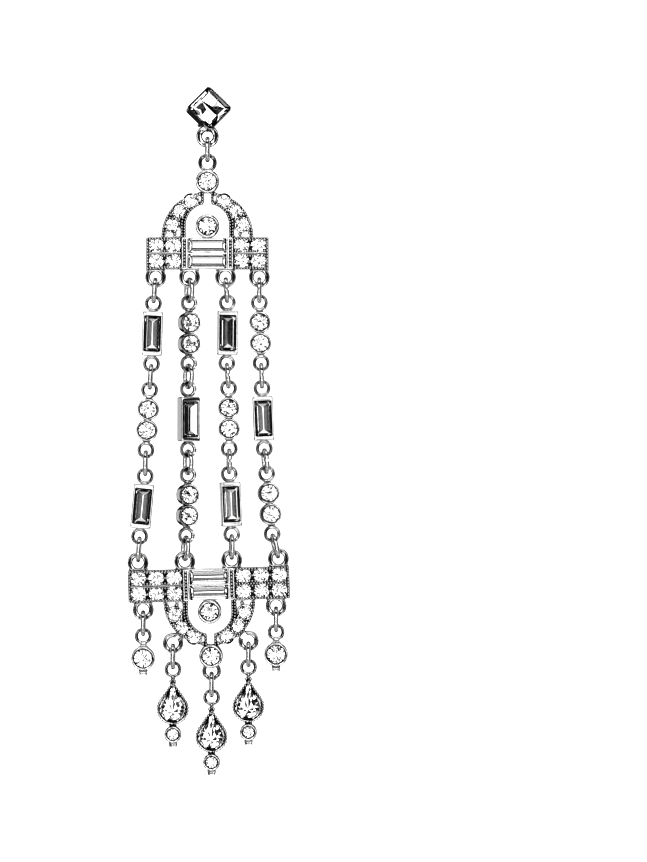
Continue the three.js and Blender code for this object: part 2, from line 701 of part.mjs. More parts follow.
// The first strand to be drawn taut carries the plate, and the others hang a little slack
const tautHeights = STRANDS.map((strand, number) => {
  const [top, row] = [topHoles[number], lowerRow[number]]
  return top.z - strandDepth(strandHoles(strand, top.x, lowerX + row.x, 0)) - row.z
})
lower.position.set(lowerX, upperHole.y, Math.max(...tautHeights))
group.add(lower)
lower.updateMatrixWorld(true)

STRANDS.forEach((strand, number) => {
  const name = `strand_${number + 1}`
  const top = topHoles[number]
  const bottom = lowerRow[number].clone().add(lower.position)
  const slack = slackOf(strand, top.x, bottom.x, top.z - bottom.z)
  const holes = strandHoles(strand, top.x, bottom.x, slack).map(({ x, depth }) =>
    new THREE.Vector3(x, top.y, top.z - depth),
  )
  const last = strand.yaw.length - 1
  strand.yaw.forEach((yaw, index) => {
    const [from, to] = [holes[2 * index], holes[2 * index + 1]]
    const above = index === 0 ? TAB_HOLE : LUG_HOLE
    const below = index === last ? TAB_HOLE : LUG_HOLE
    group.add(ringBetween(`${name}_ring_${index + 1}`, from, to, yaw, above, below))
  })
  strand.links.forEach((link, index) => {
    const [from, to] = [holes[2 * index + 1], holes[2 * index + 2]]
    const linkName = `${name}_link_${index + 1}`
    const pieces = link.kind === 'round'
      ? roundLink(linkName)
      : baguetteLink(linkName, `${name}_stone_${index + 1}`)
    group.add(hang(pieces, from, to, link.yaw))
  })
})

// The five drops hang plumb under the lower plate's holes
const archReach = ARCH_RADIUS + ARCH_LUG_REACH
const archHole = {
  x: archReach * Math.cos(degrees(ARCH_LUG_ANGLE)),
  z: BAR_HEIGHT + BAR_LUG_REACH + archReach * Math.sin(degrees(ARCH_LUG_ANGLE)),
}
const DROPS = [
  { name: 'outer_left', kind: 'round', x: -OUTER_DROP_LUG, z: BAR_HEIGHT + 2 * BAR_LUG_REACH },
  { name: 'inner_left', kind: 'pear', x: -archHole.x, z: archHole.z },
  {
    name: 'middle',
    kind: 'pear',
    x: 0,
    z: BAR_HEIGHT + BAR_LUG_REACH + CROWN_ROUND_HEIGHT + LOWER_END_LUG,
  },
  { name: 'inner_right', kind: 'pear', x: archHole.x, z: archHole.z },
  { name: 'outer_right', kind: 'round', x: OUTER_DROP_LUG, z: BAR_HEIGHT + 2 * BAR_LUG_REACH },
]
DROPS.forEach(({ name, kind, x, z }) => {
  const from = new THREE.Vector3(x, 0, -z).applyMatrix4(lower.matrixWorld)
  const to = from.clone()
  to.z -= ringSpan(TAB_HOLE, LUG_HOLE)
  group.add(ringBetween(`${name}_ring`, from, to, 0, TAB_HOLE, LUG_HOLE))
  const pieces = kind === 'round' ? roundDrop(`${name}_drop`) : pearDrop(`${name}_drop`, `${name}_stone`)
  group.add(hang(pieces, to, to.clone().sub(UP), 0))
})

export default group
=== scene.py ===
"""Chandelier earring: antiqued silver-plated casting set with foiled crystal stones."""
import math

import bmesh
import bpy
from mathutils import Matrix, Vector


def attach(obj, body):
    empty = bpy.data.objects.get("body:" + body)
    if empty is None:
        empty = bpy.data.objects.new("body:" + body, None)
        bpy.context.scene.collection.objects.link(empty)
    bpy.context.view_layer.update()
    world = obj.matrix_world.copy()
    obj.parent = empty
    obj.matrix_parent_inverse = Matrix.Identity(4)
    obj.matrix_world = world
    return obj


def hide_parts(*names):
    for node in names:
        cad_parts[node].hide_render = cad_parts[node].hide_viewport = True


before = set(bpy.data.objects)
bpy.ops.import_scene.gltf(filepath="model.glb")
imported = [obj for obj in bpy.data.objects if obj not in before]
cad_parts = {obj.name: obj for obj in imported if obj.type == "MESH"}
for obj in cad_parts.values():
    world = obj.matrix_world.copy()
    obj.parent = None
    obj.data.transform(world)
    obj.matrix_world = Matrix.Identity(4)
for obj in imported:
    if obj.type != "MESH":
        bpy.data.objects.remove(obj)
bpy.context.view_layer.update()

# Everything is measured in millimetres, as at the bench, and handed over in metres.
MM = 0.001

# Camera: the photograph's frame, and where its middle lies on the earring
FRAME_PIXELS = (647, 862)
PIXELS_PER_MM = 7
VIEW_CENTRE = (16.57, -1.3, -45.79)
VIEW_DISTANCE = 600
SENSOR = 36
# The floor lies low and is small, so that its grey doesn't hide the front board from the facets
FLOOR_DROP = 420  # below the view's middle
FLOOR_SIDE = 800

# Fits, rings and lugs
RUNNING_GAP = 0.08
RING_WIRE = 0.68
RING_INNER = 2.38
RING_MEAN = RING_INNER + RING_WIRE
# The cut where a ring's ends are pushed together: its place in degrees from the back, and its width
RING_CUT = (128, 0.05)
OPEN_CUT = (176, 0.34)  # in the rings that were left a little open
LUG_HOLE = 1.5
LUG_WALL = 0.48
TAB_HOLE = 1.6
TAB_WALL = 0.72
TAB_ROOT = 2.74
TAB_CORNER = 0.12
END_LUG_WALL = 0.57
ARCH_LUG_WALL = 0.68
LUG_DEPTH = 0.76

# Square stud
STUD_WIDTH = 4.75
STUD_DEPTH = 2
STUD_RIM = 0.2
STUD_CORNER = 0.4
STUD_YAW = 10
STUD_PITCH = -10
STUD_LUG_DROP = 3.71
STUD_LUG_FORWARD = 1.3
STUD_LUG_WALL = 0.88
POST_DIAMETER = 0.75
POST_SIDES = 24
POST_LENGTH = 8.5
# The post's brazed foot, by distance along it and share of its radius, and its end with the friction notch
# for the back, by distance before the end and share of its radius
POST_FOOT = [(-0.1, 1.5), (0.12, 1.4), (0.32, 1.05), (0.5, 1)]
POST_END = [(2.4, 1), (2.3, 0.8), (2, 0.8), (1.9, 1), (0.3, 1), (0.12, 0.8), (0, 0.4)]

# Plates
SLAB_BACK = 0.7
SLAB_FRONT = 0.7
BAR_HEIGHT = 4.57
UPPER_BAR_WIDTH = 17.5
LOWER_BAR_WIDTH = 23.1
UPPER_NEAR_LUG = 2.57
UPPER_FAR_INSET = 1.35
UPPER_FAR_LUG = UPPER_BAR_WIDTH / 2 - UPPER_FAR_INSET
LOWER_NEAR_LUG = 3.35
LOWER_FAR_INSET = 1.52
LOWER_FAR_LUG = LOWER_BAR_WIDTH / 2 - LOWER_FAR_INSET
OUTER_DROP_INSET = 2.05
OUTER_DROP_LUG = LOWER_BAR_WIDTH / 2 - OUTER_DROP_INSET
BAR_LUG_REACH = 1.1
ARCH_RADIUS = 6.57
ARCH_OPENING = 3.08
ARCH_SPRING = 1.71
SLOT_WIDTH = 0.95
SLOT_CLOSURE = 0.07
SLOT_TOP = ARCH_RADIUS - SLOT_CLOSURE
ARCH_STONES = [(20, 5.35), (43.5, 5.5), (65.5, 5.72)]  # angle and distance from the arch's middle
ARCH_SEAT = 0.8
ARCH_STAND = 0.2  # how far the girdles of the arch's stones stand above those of the bar's
ARCH_GAPS = [(6, 5.4), (32, 5.45), (55, 5.5), (80, 5.6)]  # where grains stand between those stones
ARCH_LUG_ANGLE = 48
ARCH_LUG_REACH = 1.5
CROWN_ROUND_STAND = 1.4
CROWN_ROUND_HEIGHT = ARCH_RADIUS + CROWN_ROUND_STAND
UPPER_END_LUG = 2.7
LOWER_END_LUG = 2.2
HEART_ROUND_HEIGHT = 1.6
LOWER_ROLL = -1.7
LOWER_PITCH = 3
LOWER_PLATE_SHIFT = 0.1
MIDDLE = -BAR_HEIGHT / 2  # of the bar
PLATE_ROUNDS = (HEART_ROUND_HEIGHT, CROWN_ROUND_HEIGHT)
RAIL_INNER = 2.86
RAIL_WIDTH = 0.8
RAIL_RISE = 0.2
RAIL_LIP = 0.25  # on each side of the row of beads in a rail
RAIL_CORNER, RAIL_HOLLOW_CORNER = 0.12, 0.08
RAIL_OVERLAP = 0.08  # of the rows of beads that start at a rail
# Across that lip: share of the way in, and fall below the rail's top
RAIL_PROFILE = [(0, 0.12), (0.15, 0.03), (0.45, 0), (0.8, 0.03), (1, 0.14)]
FIELD_BORDER = 0.2
FIELD_EDGE = 0.3  # between a sunk field and the bar's long edges
FIELD_SHIFT = 0.1  # how far a field runs in under the rail
FIELD_DEPTH = 0.25
ARCH_FACE_DEPTH = 0.12
ARCH_FACE_EDGE = 0.12
DIVIDER_WIDTH = 0.4
DIVIDER_BAR = 0.34  # the plain divider's own width, with a round top
DIVIDER_CORNER = 0.1
DIVIDER_TOP = 0.4  # share of its width
DIVIDER_STOP = 0.15  # before each end of the field
DIVIDER_PROFILE = [(0, 0.02), (0.4, 0.11), (1, 0.13)]  # share of the way in, and rise above the face
BAR_STONE_LENGTH = 5.3
BAR_STONE_WIDTH = 1.95
BAR_STONE_PITCH = 2.22
BAR_STONES = (MIDDLE - BAR_STONE_PITCH / 2, MIDDLE + BAR_STONE_PITCH / 2)
EASED_EDGE = 0.09  # the cast edges' roundness
EASE_ANGLE = 40  # edges sharper than this are eased
SHARP_ANGLE = 38  # edges sharper than this show as edges

# Stones
CROWN_RISE = 0.32
GIRDLE = 0.04
GIRDLE_SINK = 0.05  # of a girdle below its setting's rim
# Step cuts: width and slope of each facet, counted in from the girdle
LINK_CROWN = [(0.14, 42), (0.14, 30)]
LINK_BACK = [(0.2, 43), (0.1, 8), (0.36, 14.5), (0.33, 15.5)]
BAR_CROWN = [(0.18, 42), (0.2, 34)]
BAR_BACK = [(0.24, 44), (0.18, 41), (0.27, 16.5), (0.2, 9)]
LINK_END_SLOPE = 19  # of the end facets of a baguette's back, upright in a link
BAR_END_SLOPE = 40  # and lying in a bar
PEAR_TABLE = 0.62  # share of the outline
PEAR_BREAK = (0.85, 0.45)  # between crown and girdle: share of the outline and of the crown's rise
PEAR_FACET = 0.8
PEAR_RIM = (0.34, 43)  # width and slope of the outer facets of its back
PEAR_HEART = (0, -0.45)  # where its back is deepest
PEAR_HEART_DEPTH = 0.17  # below the outer facets
PEAR_WAIST = 0.5  # where its facets break, as a share of the way to the heart
PEAR_UNEVENNESS = 0.013
STONE_GAP = 0.08  # the dark line round a stone
STONE_CORNER = 0.28
STONE_SEAT_DEPTH = 1
ROUND_POINTS = 16  # of a brilliant's girdle
ROUND_TABLE = 0.56  # share of the radius
ROUND_BREAK = 0.78  # where its star facets end, as a share of the radius
PAVILION_SLOPE = 0.91  # depth to half width, about 42 degrees
LOW_PLACE = 0.34  # where a round's back breaks, as a share of the radius
LOW_DEPTH = 0.7  # and of the depth
LOW_UNEVENNESS = 0.05  # of those breaks, by turns
LEAN = 0.05  # how far a hand-set round's deepest point lies off its middle, as a share of the radius
STUD_ROW = (0.5, 43)  # width and slope of the outer facets of the square stone's back
STUD_TABLE = 0.74
# Within that row the points 0 to 7 lie round its border, from the east through the north. These are 8 to
# 13, each by x, z and depth below the border
STUD_RIDGE = [
    (0.3, 1.35, 0.05),
    (0.42, 0.25, 0.17),
    (1.3, 0.3, 0.05),
    (-0.45, -0.3, -0.16),
    (-1.3, -0.3, -0.04),
    (-0.3, -1.3, -0.07),
]
# The facets between those points
STUD_FACETS = [
    (1, 8, 9), (1, 9, 10), (5, 12, 11), (5, 11, 13), (2, 1, 8), (2, 8, 3), (8, 9, 3), (9, 11, 3),
    (11, 12, 3), (12, 4, 3), (4, 12, 5), (13, 6, 5), (6, 7, 13), (11, 7, 13), (9, 11, 7), (10, 7, 9),
    (10, 0, 7), (1, 0, 10),
]
SEAT_FLOOR = 0.06  # metal left behind a seat
PAVE_STONE = 1.1
PAVE_SEAT = 1.1
SEAT_SIDES = 32
PAVE_FLOOR = 0.3  # metal left under a seat
PAVE_SINK = 0.08  # of a girdle below the face
PAVE_RISE = 0.15
TURN_STEP = 0.37  # from stone to stone, as no two are set alike
LINK_TURN_STEP, DROP_TURN_STEP = 0.31, 0.4
CUT_CORNER = (0.14, 0.4, 0.02)  # a baguette's corner, its loss for each mm inwards, and its least size

# Round settings
ROUND_SIDES = 48
ROUND_BACK = 0.75
ROUND_BACK_EASE = 0.12
ROUND_RIM = 1.15
PLATE_ROUND = 1.7
PLATE_ROUND_WALL = 0.4
PLATE_ROUND_SINK = 0.1
LINK_ROUND = 1.53
LINK_ROUND_WALL = 0.15
LINK_ROUND_PITCH = 3
BEZEL_LIP = 0.13  # how far a link's turned edge covers its stone
DROP_ROUND = 1.69
DROP_ROUND_WALL = 0.33
TAIL_ROUND = 1.22
TAIL_ROUND_WALL = 0.36
TAIL_RIM = 0.98
TAIL_RISE = 0.26
# A turned-over bezel wall above its straight side: share of the way in, and fall below the rim in eases
BEZEL_EASE = 0.1
BEZEL_TURN = [(0, 1.6), (0.12, 0.6), (0.36, 0), (0.72, 0.25), (0.93, 0.9), (1, 1.8)]
# Across a loop's wall: share of the way out, and half thicknesses from its middle. The face falls from a
# rim to the hole's edge
LOOP_SECTION = [
    (0, -0.1), (0.05, -0.3), (0.2, -0.38), (0.4, -0.5), (0.6, -0.72), (0.72, -0.95), (0.82, -1),
    (0.93, -0.85), (1, -0.5), (1, 0.4), (0.9, 1), (0.5, 1), (0.1, 0.8), (0, 0.45),
]

# Links and drops
LINK_PITCH = 8.63
FRAME_WIDTH = 2.9
FRAME_LENGTH = 6.38
FRAME_BACK = 0.75
FRAME_FRONT = 1.15
LINK_STONE_WIDTH = 2.5
LINK_STONE_LENGTH = 5.2
SPINE_WIDTH = 1
SPINE_DEPTH = 0.5
SPINE_CORNER = 0.12
FRAME_INNER_CORNER = 0.16
NECK_WIDTH = 1.1
# Webs between a lug and what carries it: their widths at the lug and at the foot, and their depth
END_WEB = (NECK_WIDTH, 1.6, LUG_DEPTH * 0.9)
ARCH_WEB = (NECK_WIDTH, 1.7, LUG_DEPTH * 0.9)
LINK_WEB = (0.8, 1.5, 0.6)
ROUND_WEB = (0.8, 1.6, 0.6)
PEAR_WEB = (0.55, 0.9, 0.5)
TAIL_WEB = (1.0, 1.1, 0.6)
WEB_CORNER = 0.22  # share of the depth
WEB_START, PEAR_WEB_START = 0.16, 0.2  # from the lug's hole
WEB_OVERLAP, ROUND_OVERLAP, TIP_OVERLAP = 0.15, 0.2, 0.35  # how far webs run into what carries them
ROUND_LINK_REACH = 1.5  # from its lugs to its first setting
DROP_ROUND_REACH = 3.14
NUB_WIDTH = 1.3
NUB_DEPTH = 0.62
NUB_CORNER = 0.2
NUB_RIDGES = 3
NUB_TAPER = 0.07  # from ridge to ridge
NUB_PROFILE = [(-1, 0.82), (-0.6, 1), (0.4, 1), (1, 0.82)]  # half heights of a ridge, and share of its width
NUB_CORE = (1.04, 0.4, 0.08)  # its width, depth and corner between the ridges
NUB_HEIGHT = 0.8
TAIL_NUB_HEIGHT = 0.65
NUB_OVERLAP = 0.04
PEAR_HALF_WIDTH = 2.27
PEAR_TIP = 3.87
PEAR_REACH = 5.59
PEAR_WALL = 0.3
PEAR_TIP_WALL = 0.15
PEAR_TIP_GAP = 0.14
TAIL_ROUND_GAP = 0.18

# Milgrain: the rows of tiny rolled beads on the cast edges
GRAIN = 0.18
GRAIN_PITCH = 0.42
GRAIN_STAND = 0.3  # of its radius above the face
GRAIN_COLLAR = 1.3  # how far round a grain the oxide reaches, as a share of its radius
COLLAR_FLATNESS = 0.2
FRINGE = 0.2
FRINGE_PITCH = 0.44
FRINGE_FRONT = 0.2  # of the beads behind the rim
FRINGE_WALL, FRINGE_PATH = 0.6, 0.85  # how far the wall and the row lie within the edge, in bead radii
SHADE, SHADE_FRONT, SHADE_FLATNESS = FRINGE * 1.15, 0.3, 0.8  # the oxide round each of them
NECK_BEAD, TAIL_BEAD = 0.24, 0.2
NECK_BEADS = [(0, -0.3)]  # x and y of those on the neck, beside the pear's tip and under the pear
TIP_BEADS = [(-0.3, -0.55), (0.3, -0.55)]
TAIL_BEADS = [(-0.36, -0.5), (0, -0.5), (0.36, -0.5)]
MILGRAIN_INSET = 0.14  # of the rows round the fields
ARCH_ROW_INSET = 0.17  # of the rows along the arch's two edges
ARCH_SECOND_ROW = 0.55
ARCH_ROW_START = 0.15  # above the bar
ARCH_ROW_STOPS = (3, 30)  # degrees before the slot for the first row, and from the bar for the second
OUTER_ROW = (2, 53)  # degrees from the bar between which it shows
SLOT_ROW_STOP = 0.25  # below the slot's top
RAIL_GRAIN = 0.2
RAIL_GRAIN_PITCH = 0.46
RAIL_GRAIN_DEPTH = 0.16  # below the rail's top
RAIL_ROW_STOP = 0.35  # before the rail's ends
HOLDING_GRAIN = GRAIN * 1.1  # the beads that hold the pave stones
HOLDING_AT = (0.86, 0.8)  # from a stone's middle to its corner beads
CORNER_SINK, COLUMN_SINK = 0.02, 0.06  # of the beads at the corners and between the columns
GAP_GRAIN = 0.22  # the beads between the arch's stones, by two rows
GAP_ROWS = (-0.72, 0.66)
GAP_STAND = 0.06

# The four strands from left to right: yaw of each ring, then kind, yaw, sway above and below of each link
STRANDS = [
    ([0, 0, 0, 0], [("baguette", 0, -0.01, 0.02), ("round", 0, 0.015, 0.015), ("baguette", 0, 0.03, 0)]),
    ([18, 20, 20, 16], [("round", 20, 0, 0.01), ("baguette", 22, 0.01, 0.025), ("round", 20, 0.03, 0.02)]),
    ([4, 4, 5, 6], [("baguette", 8, 0.02, -0.01), ("round", 2, 0.01, 0), ("baguette", 10, -0.01, 0.01)]),
    (
        [0, 2, 10, 8],
        [("round", 0, -0.027, -0.065), ("baguette", 3, -0.08, -0.11), ("round", 8, -0.1, -0.075)],
    ),
]

# Strand and place of the rings whose cut shows in front
OPEN_RINGS = [(2, 0), (2, 1), (2, 2), (3, 0), (3, 1), (3, 2)]

# Finishes, by their number in a piece
BRIGHT, DARK = 0, 1
CRYSTAL, FOIL = 0, 1


# Materials

def linear(hex_colour):
    """A shader colour from an sRGB hex value such as "e5e5e5"."""
    values = [int(hex_colour[i:i + 2], 16) / 255 for i in (0, 2, 4)]
    return [v / 12.92 if v <= 0.04045 else ((v + 0.055) / 1.055) ** 2.4 for v in values] + [1]


def add(tree, kind, inputs=None, ramp=(), **settings):
    """Adds a node with its settings. An input is a value or another node's output socket, and a ramp is the
    place and the colour of each end."""
    node = tree.nodes.new(kind)
    for name, value in settings.items():
        setattr(node, name, value)
    for name, value in (inputs or {}).items():
        if isinstance(value, bpy.types.NodeSocket):
            tree.links.new(value, node.inputs[name])
        else:
            node.inputs[name].default_value = value
    for index, (position, colour) in enumerate(ramp):
        node.color_ramp.elements[index].position = position
        node.color_ramp.elements[index].color = linear(colour)
    return node


def new_material(name):
    """An empty material, its tree, and the place on the piece that its patterns are laid out by."""
    material = bpy.data.materials.new(name)
    material.use_nodes = True
    material.node_tree.nodes.clear()
    place = add(material.node_tree, "ShaderNodeTexCoord").outputs["Object"]
    return material, material.node_tree, place


def coated(material, inputs):
    """The material with its surface laid on."""
    shader = add(material.node_tree, "ShaderNodeBsdfPrincipled", inputs)
    add(material.node_tree, "ShaderNodeOutputMaterial", {"Surface": shader.outputs[0]})
    return material


def antiqued_casting():
    """Lost-wax white metal, silver plated, dipped in oxide and wiped: bright on what a cloth reaches,
    near black in what it doesn't, with the fine pebbled skin that casting leaves."""
    material, tree, place = new_material("antiqued_silver_casting")
    # Oxide stays within about half a millimetre of an inner corner
    corner = add(tree, "ShaderNodeAmbientOcclusion", {"Distance": 0.55 * MM}, samples=8)
    # Wiping leaves patches about 0.8 mm across
    patches = add(tree, "ShaderNodeTexNoise", {"Vector": place, "Scale": 1 / (0.8 * MM), "Detail": 3.0})
    worn = add(tree, "ShaderNodeMath", {0: patches.outputs["Fac"], 1: 0.3}, operation="MULTIPLY")
    reach = add(tree, "ShaderNodeMath", {0: corner.outputs["AO"], 1: worn.outputs[0]}, operation="ADD")
    limits = {"Value": reach.outputs[0], "From Min": 0.6, "From Max": 1.02}
    wiped = add(tree, "ShaderNodeMapRange", limits, interpolation_type="SMOOTHSTEP").outputs["Result"]
    colour = add(tree, "ShaderNodeValToRGB", {"Fac": wiped}, [(0, "1c1b1d"), (1, "e5e5e5")])
    # What the cloth reaches is polished too
    dull = add(tree, "ShaderNodeMapRange", {"Value": wiped, "To Min": 0.5, "To Max": 0.13})
    # Investment plaster grit of about 0.12 mm shows as a pebbled skin
    grit = add(tree, "ShaderNodeTexNoise", {"Vector": place, "Scale": 1 / (0.12 * MM), "Detail": 2.0})
    relief = {"Height": grit.outputs["Fac"], "Strength": 0.35, "Distance": 0.01 * MM}
    return coated(material, {
        "Base Color": colour.outputs[0],
        "Roughness": dull.outputs["Result"],
        "Metallic": 1.0,
        "Normal": add(tree, "ShaderNodeBump", relief).outputs[0],
    })


def oxidised_floor():
    """The same casting where the cloth never reaches: a dull near-black sulphide skin."""
    material, tree, place = new_material("oxidised_silver_floor")
    # Pits and crumbs of oxide about 0.1 mm across
    crumbs = add(tree, "ShaderNodeTexNoise", {"Vector": place, "Scale": 1 / (0.1 * MM), "Detail": 3.0})
    crumb = crumbs.outputs["Fac"]
    colour = add(tree, "ShaderNodeValToRGB", {"Fac": crumb}, [(0, "121213"), (1, "4c4b4b")])
    pits = add(tree, "ShaderNodeBump", {"Height": crumb, "Strength": 0.6, "Distance": 0.02 * MM})
    return coated(material, {
        "Base Color": colour.outputs[0],
        "Roughness": 0.5,
        "Metallic": 1.0,
        "Normal": pits.outputs[0],
    })


def drawn_wire():
    """Silver-plated drawn wire: smoother and brighter than the casting, with the die's faint lines, and
    painted shade where rings and lugs meet.
    """
    material, tree, place = new_material("silver_plated_drawn_wire")
    # Painted shade: the wire darkens to near black within about 0.4 mm of where rings and lugs meet
    corner = add(tree, "ShaderNodeAmbientOcclusion", {"Distance": 0.4 * MM}, samples=8)
    ends = [(0.35, "2b2a2c"), (0.85, "e9e9e9")]
    colour = add(tree, "ShaderNodeValToRGB", {"Fac": corner.outputs["AO"]}, ends)
    # Die lines about 0.08 mm apart
    lines = add(tree, "ShaderNodeTexNoise", {"Vector": place, "Scale": 1 / (0.08 * MM), "Detail": 1.0})
    relief = {"Height": lines.outputs["Fac"], "Strength": 0.15, "Distance": 0.01 * MM}
    return coated(material, {
        "Base Color": colour.outputs[0],
        "Roughness": 0.09,
        "Metallic": 1.0,
        "Normal": add(tree, "ShaderNodeBump", relief).outputs[0],
    })


def lead_crystal():
    """Cut lead crystal: clear, hard-edged and polished, so each facet shows its own piece of the room."""
    material, tree, place = new_material("lead_crystal")
    # Polishing leaves a swell of about 1.5 mm that is too shallow to see but bends a reflection
    swell = add(tree, "ShaderNodeTexNoise", {"Vector": place, "Scale": 1 / (1.5 * MM), "Detail": 0.0})
    relief = {"Height": swell.outputs["Fac"], "Strength": 0.1, "Distance": 0.02 * MM}
    return coated(material, {
        "Base Color": linear("fdfdfc"),
        "Roughness": 0.0,
        "IOR": 1.56,
        "Transmission Weight": 1.0,
        "Normal": add(tree, "ShaderNodeBump", relief).outputs[0],
    })


def silver_foil():
    """The silver mirror behind a foiled stone, which throws the light back out through the crown."""
    material, tree, place = new_material("silver_mirror_foil")
    # The mirror is laid on by dipping, so it is a little cloudy in patches about 0.5 mm across
    cloud = add(tree, "ShaderNodeTexNoise", {"Vector": place, "Scale": 1 / (0.5 * MM), "Detail": 2.0})
    ends = [(0, "f4f4f5"), (1, "fdfdfd")]
    colour = add(tree, "ShaderNodeValToRGB", {"Fac": cloud.outputs["Fac"]}, ends).outputs[0]
    return coated(material, {"Base Color": colour, "Roughness": 0.02, "Metallic": 1.0})


def painted_floor():
    """A matt pale studio floor with a faint mottle."""
    material, tree, place = new_material("matt_white_floor")
    # The roller's mottle is about 90 mm across
    mottle = add(tree, "ShaderNodeTexNoise", {"Vector": place, "Scale": 1 / (90 * MM), "Detail": 2.0})
    ends = [(0, "f4f4f3"), (1, "f9f9f8")]
    colour = add(tree, "ShaderNodeValToRGB", {"Fac": mottle.outputs["Fac"]}, ends).outputs[0]
    return coated(material, {"Base Color": colour, "Roughness": 0.8})


casting = antiqued_casting()
oxide = oxidised_floor()
wire = drawn_wire()
crystal = lead_crystal()
foil = silver_foil()


# Gathering faces into a piece

class Part:
    """The faces of one piece, in millimetres in the piece's own frame, each with its finish."""

    def __init__(self):
        self.points, self.faces, self.finishes = [], [], []

    def take(self, shape, finish=BRIGHT, place=None):
        """Adds a shape, which is points, faces and perhaps a finish for each face."""
        points, faces = shape[:2]
        finishes = shape[2] if len(shape) > 2 else [finish] * len(faces)
        start = len(self.points)
        self.points += [place @ Vector(p) if place else Vector(p) for p in points]
        self.faces += [[start + i for i in face] for face in faces]
        self.finishes += finishes
        return self


def mesh_of(name, part, materials, place, scale):
    """The part's mesh at this place and scale, with its faces looking outwards."""
    mesh = bpy.data.meshes.new(name)
    mesh.from_pydata([place @ p for p in part.points], [], part.faces)
    for material in materials:
        mesh.materials.append(material)
    mesh.polygons.foreach_set("material_index", part.finishes)
    mesh.transform(Matrix.Scale(scale, 4))
    work = bmesh.new()
    work.from_mesh(mesh)
    bmesh.ops.recalc_face_normals(work, faces=work.faces)
    work.to_mesh(mesh)
    work.free()
    return mesh


def hand_over(name, part, place, materials, body, smooth=True, replaces=()):
    """Makes the piece's object in metres and lets it ride on its body."""
    mesh = mesh_of(name, part, materials, place, MM)
    piece = bpy.data.objects.new(name, mesh)
    bpy.context.scene.collection.objects.link(piece)
    if smooth:
        mesh.shade_smooth()
        mesh.set_sharp_from_angle(angle=math.radians(SHARP_ANGLE))
        # Large flat faces stay flat beside their eased edges
        piece.modifiers.new("flat faces", "WEIGHTED_NORMAL").keep_sharp = True
    else:
        mesh.shade_flat()
    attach(piece, body)
    if replaces:
        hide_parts(*replaces)


# Outlines in X and Z, as lists of points

def circle(radius, sides, x=0, z=0, turn=0):
    angles = [2 * math.pi * (i + turn) / sides for i in range(sides)]
    return [(x + radius * math.cos(a), z + radius * math.sin(a)) for a in angles]


def arc(radius, start, end, steps, x=0, z=0):
    angles = [math.radians(start + (end - start) * i / steps) for i in range(steps + 1)]
    return [(x + radius * math.cos(a), z + radius * math.sin(a)) for a in angles]


def rounded_rectangle(width, height, corner, steps=3):
    w, h = width / 2 - corner, height / 2 - corner
    middles = [(w, h, 0), (-w, h, 90), (-w, -h, 180), (w, -h, 270)]
    return [p for x, z, start in middles for p in arc(corner, start, start + 90, steps, x, z)]


def pear(half_width, tip, steps=22, side_steps=6):
    """A circle below, and two straight sides that touch it and meet in the tip above."""
    touch = math.degrees(math.asin(half_width / tip))
    round_end = arc(half_width, 180 - touch, 360 + touch, steps)
    first, last = round_end[0], round_end[-1]
    shares = [i / side_steps for i in range(1, side_steps)]
    up = [(last[0] * (1 - s), last[1] + (tip - last[1]) * s) for s in shares]
    down = [(first[0] * s, tip + (first[1] - tip) * s) for s in shares]
    return round_end + up + [(0, tip)] + down


def rectangle(left, right, low, high):
    return [(left, low), (right, low), (right, high), (left, high)]


def evenly(path, pitch, closed=True):
    """Points along a path, as near to a pitch apart as divides it evenly."""
    line = [Vector(p) for p in path] + ([Vector(path[0])] if closed else [])
    lengths = [(b - a).length for a, b in zip(line, line[1:])]
    count = max(1, round(sum(lengths) / pitch))
    step = sum(lengths) / count
    points, index, gone = [], 0, 0.0
    for number in range(count + (0 if closed else 1)):
        wanted = number * step
        while index < len(lengths) - 1 and gone + lengths[index] < wanted - 1e-9:
            gone += lengths[index]
            index += 1
        share = min(1.0, (wanted - gone) / lengths[index])
        points.append(tuple(line[index].lerp(line[index + 1], share)))
    return points


def between(outer, inner, share):
    return [(a[0] + (b[0] - a[0]) * share, a[1] + (b[1] - a[1]) * share) for a, b in zip(outer, inner)]


# Closed shapes

def skin(layers, closed=False):
    """Faces through rings of points, capped at both ends or closed into a loop."""
    count = len(layers[0])
    points = [p for layer in layers for p in layer]
    faces = []
    for step in range(len(layers) if closed else len(layers) - 1):
        low, high = step * count, (step + 1) % len(layers) * count
        for i in range(count):
            j = (i + 1) % count
            faces.append([low + i, low + j, high + j, high + i])
    if not closed:
        faces += [list(range(count)), list(range(len(points) - count, len(points)))]
    return points, faces


def cup(outer, inner, profile, dark_bands=0):
    """A body between two outlines of like points. The profile is (share of the way in, y), from back to
    floor. Its last bands and the floor may be dark, where oxide lies round a stone."""
    points, faces = skin([[(x, y, z) for x, z in between(outer, inner, share)] for share, y in profile])
    bright = len(outer) * (len(profile) - 1 - dark_bands)
    finishes = [BRIGHT if i < bright else DARK for i in range(len(faces))]
    finishes[-2] = BRIGHT
    return points, faces, finishes


def prism(outline, front, back):
    return skin([[(x, y, z) for x, z in outline] for y in (-front, back)])


def bezel_profile(rim, back, floor, back_share=2 * BEZEL_EASE):
    """A turned-over bezel wall: back edge eased over this share of it, straight side, rounded rim, seat."""
    turned = [(share, -rim + fall * BEZEL_EASE) for share, fall in BEZEL_TURN]
    return [(back_share, back), (0, back - BEZEL_EASE)] + turned + [(1, floor)]


def round_cup(z, radius, wall, rim=ROUND_RIM, back=ROUND_BACK):
    outer, inner = circle(radius, ROUND_SIDES, 0, z), circle(radius - wall, ROUND_SIDES, 0, z)
    return cup(outer, inner, bezel_profile(rim, back, back - SEAT_FLOOR, ROUND_BACK_EASE / wall), 2)


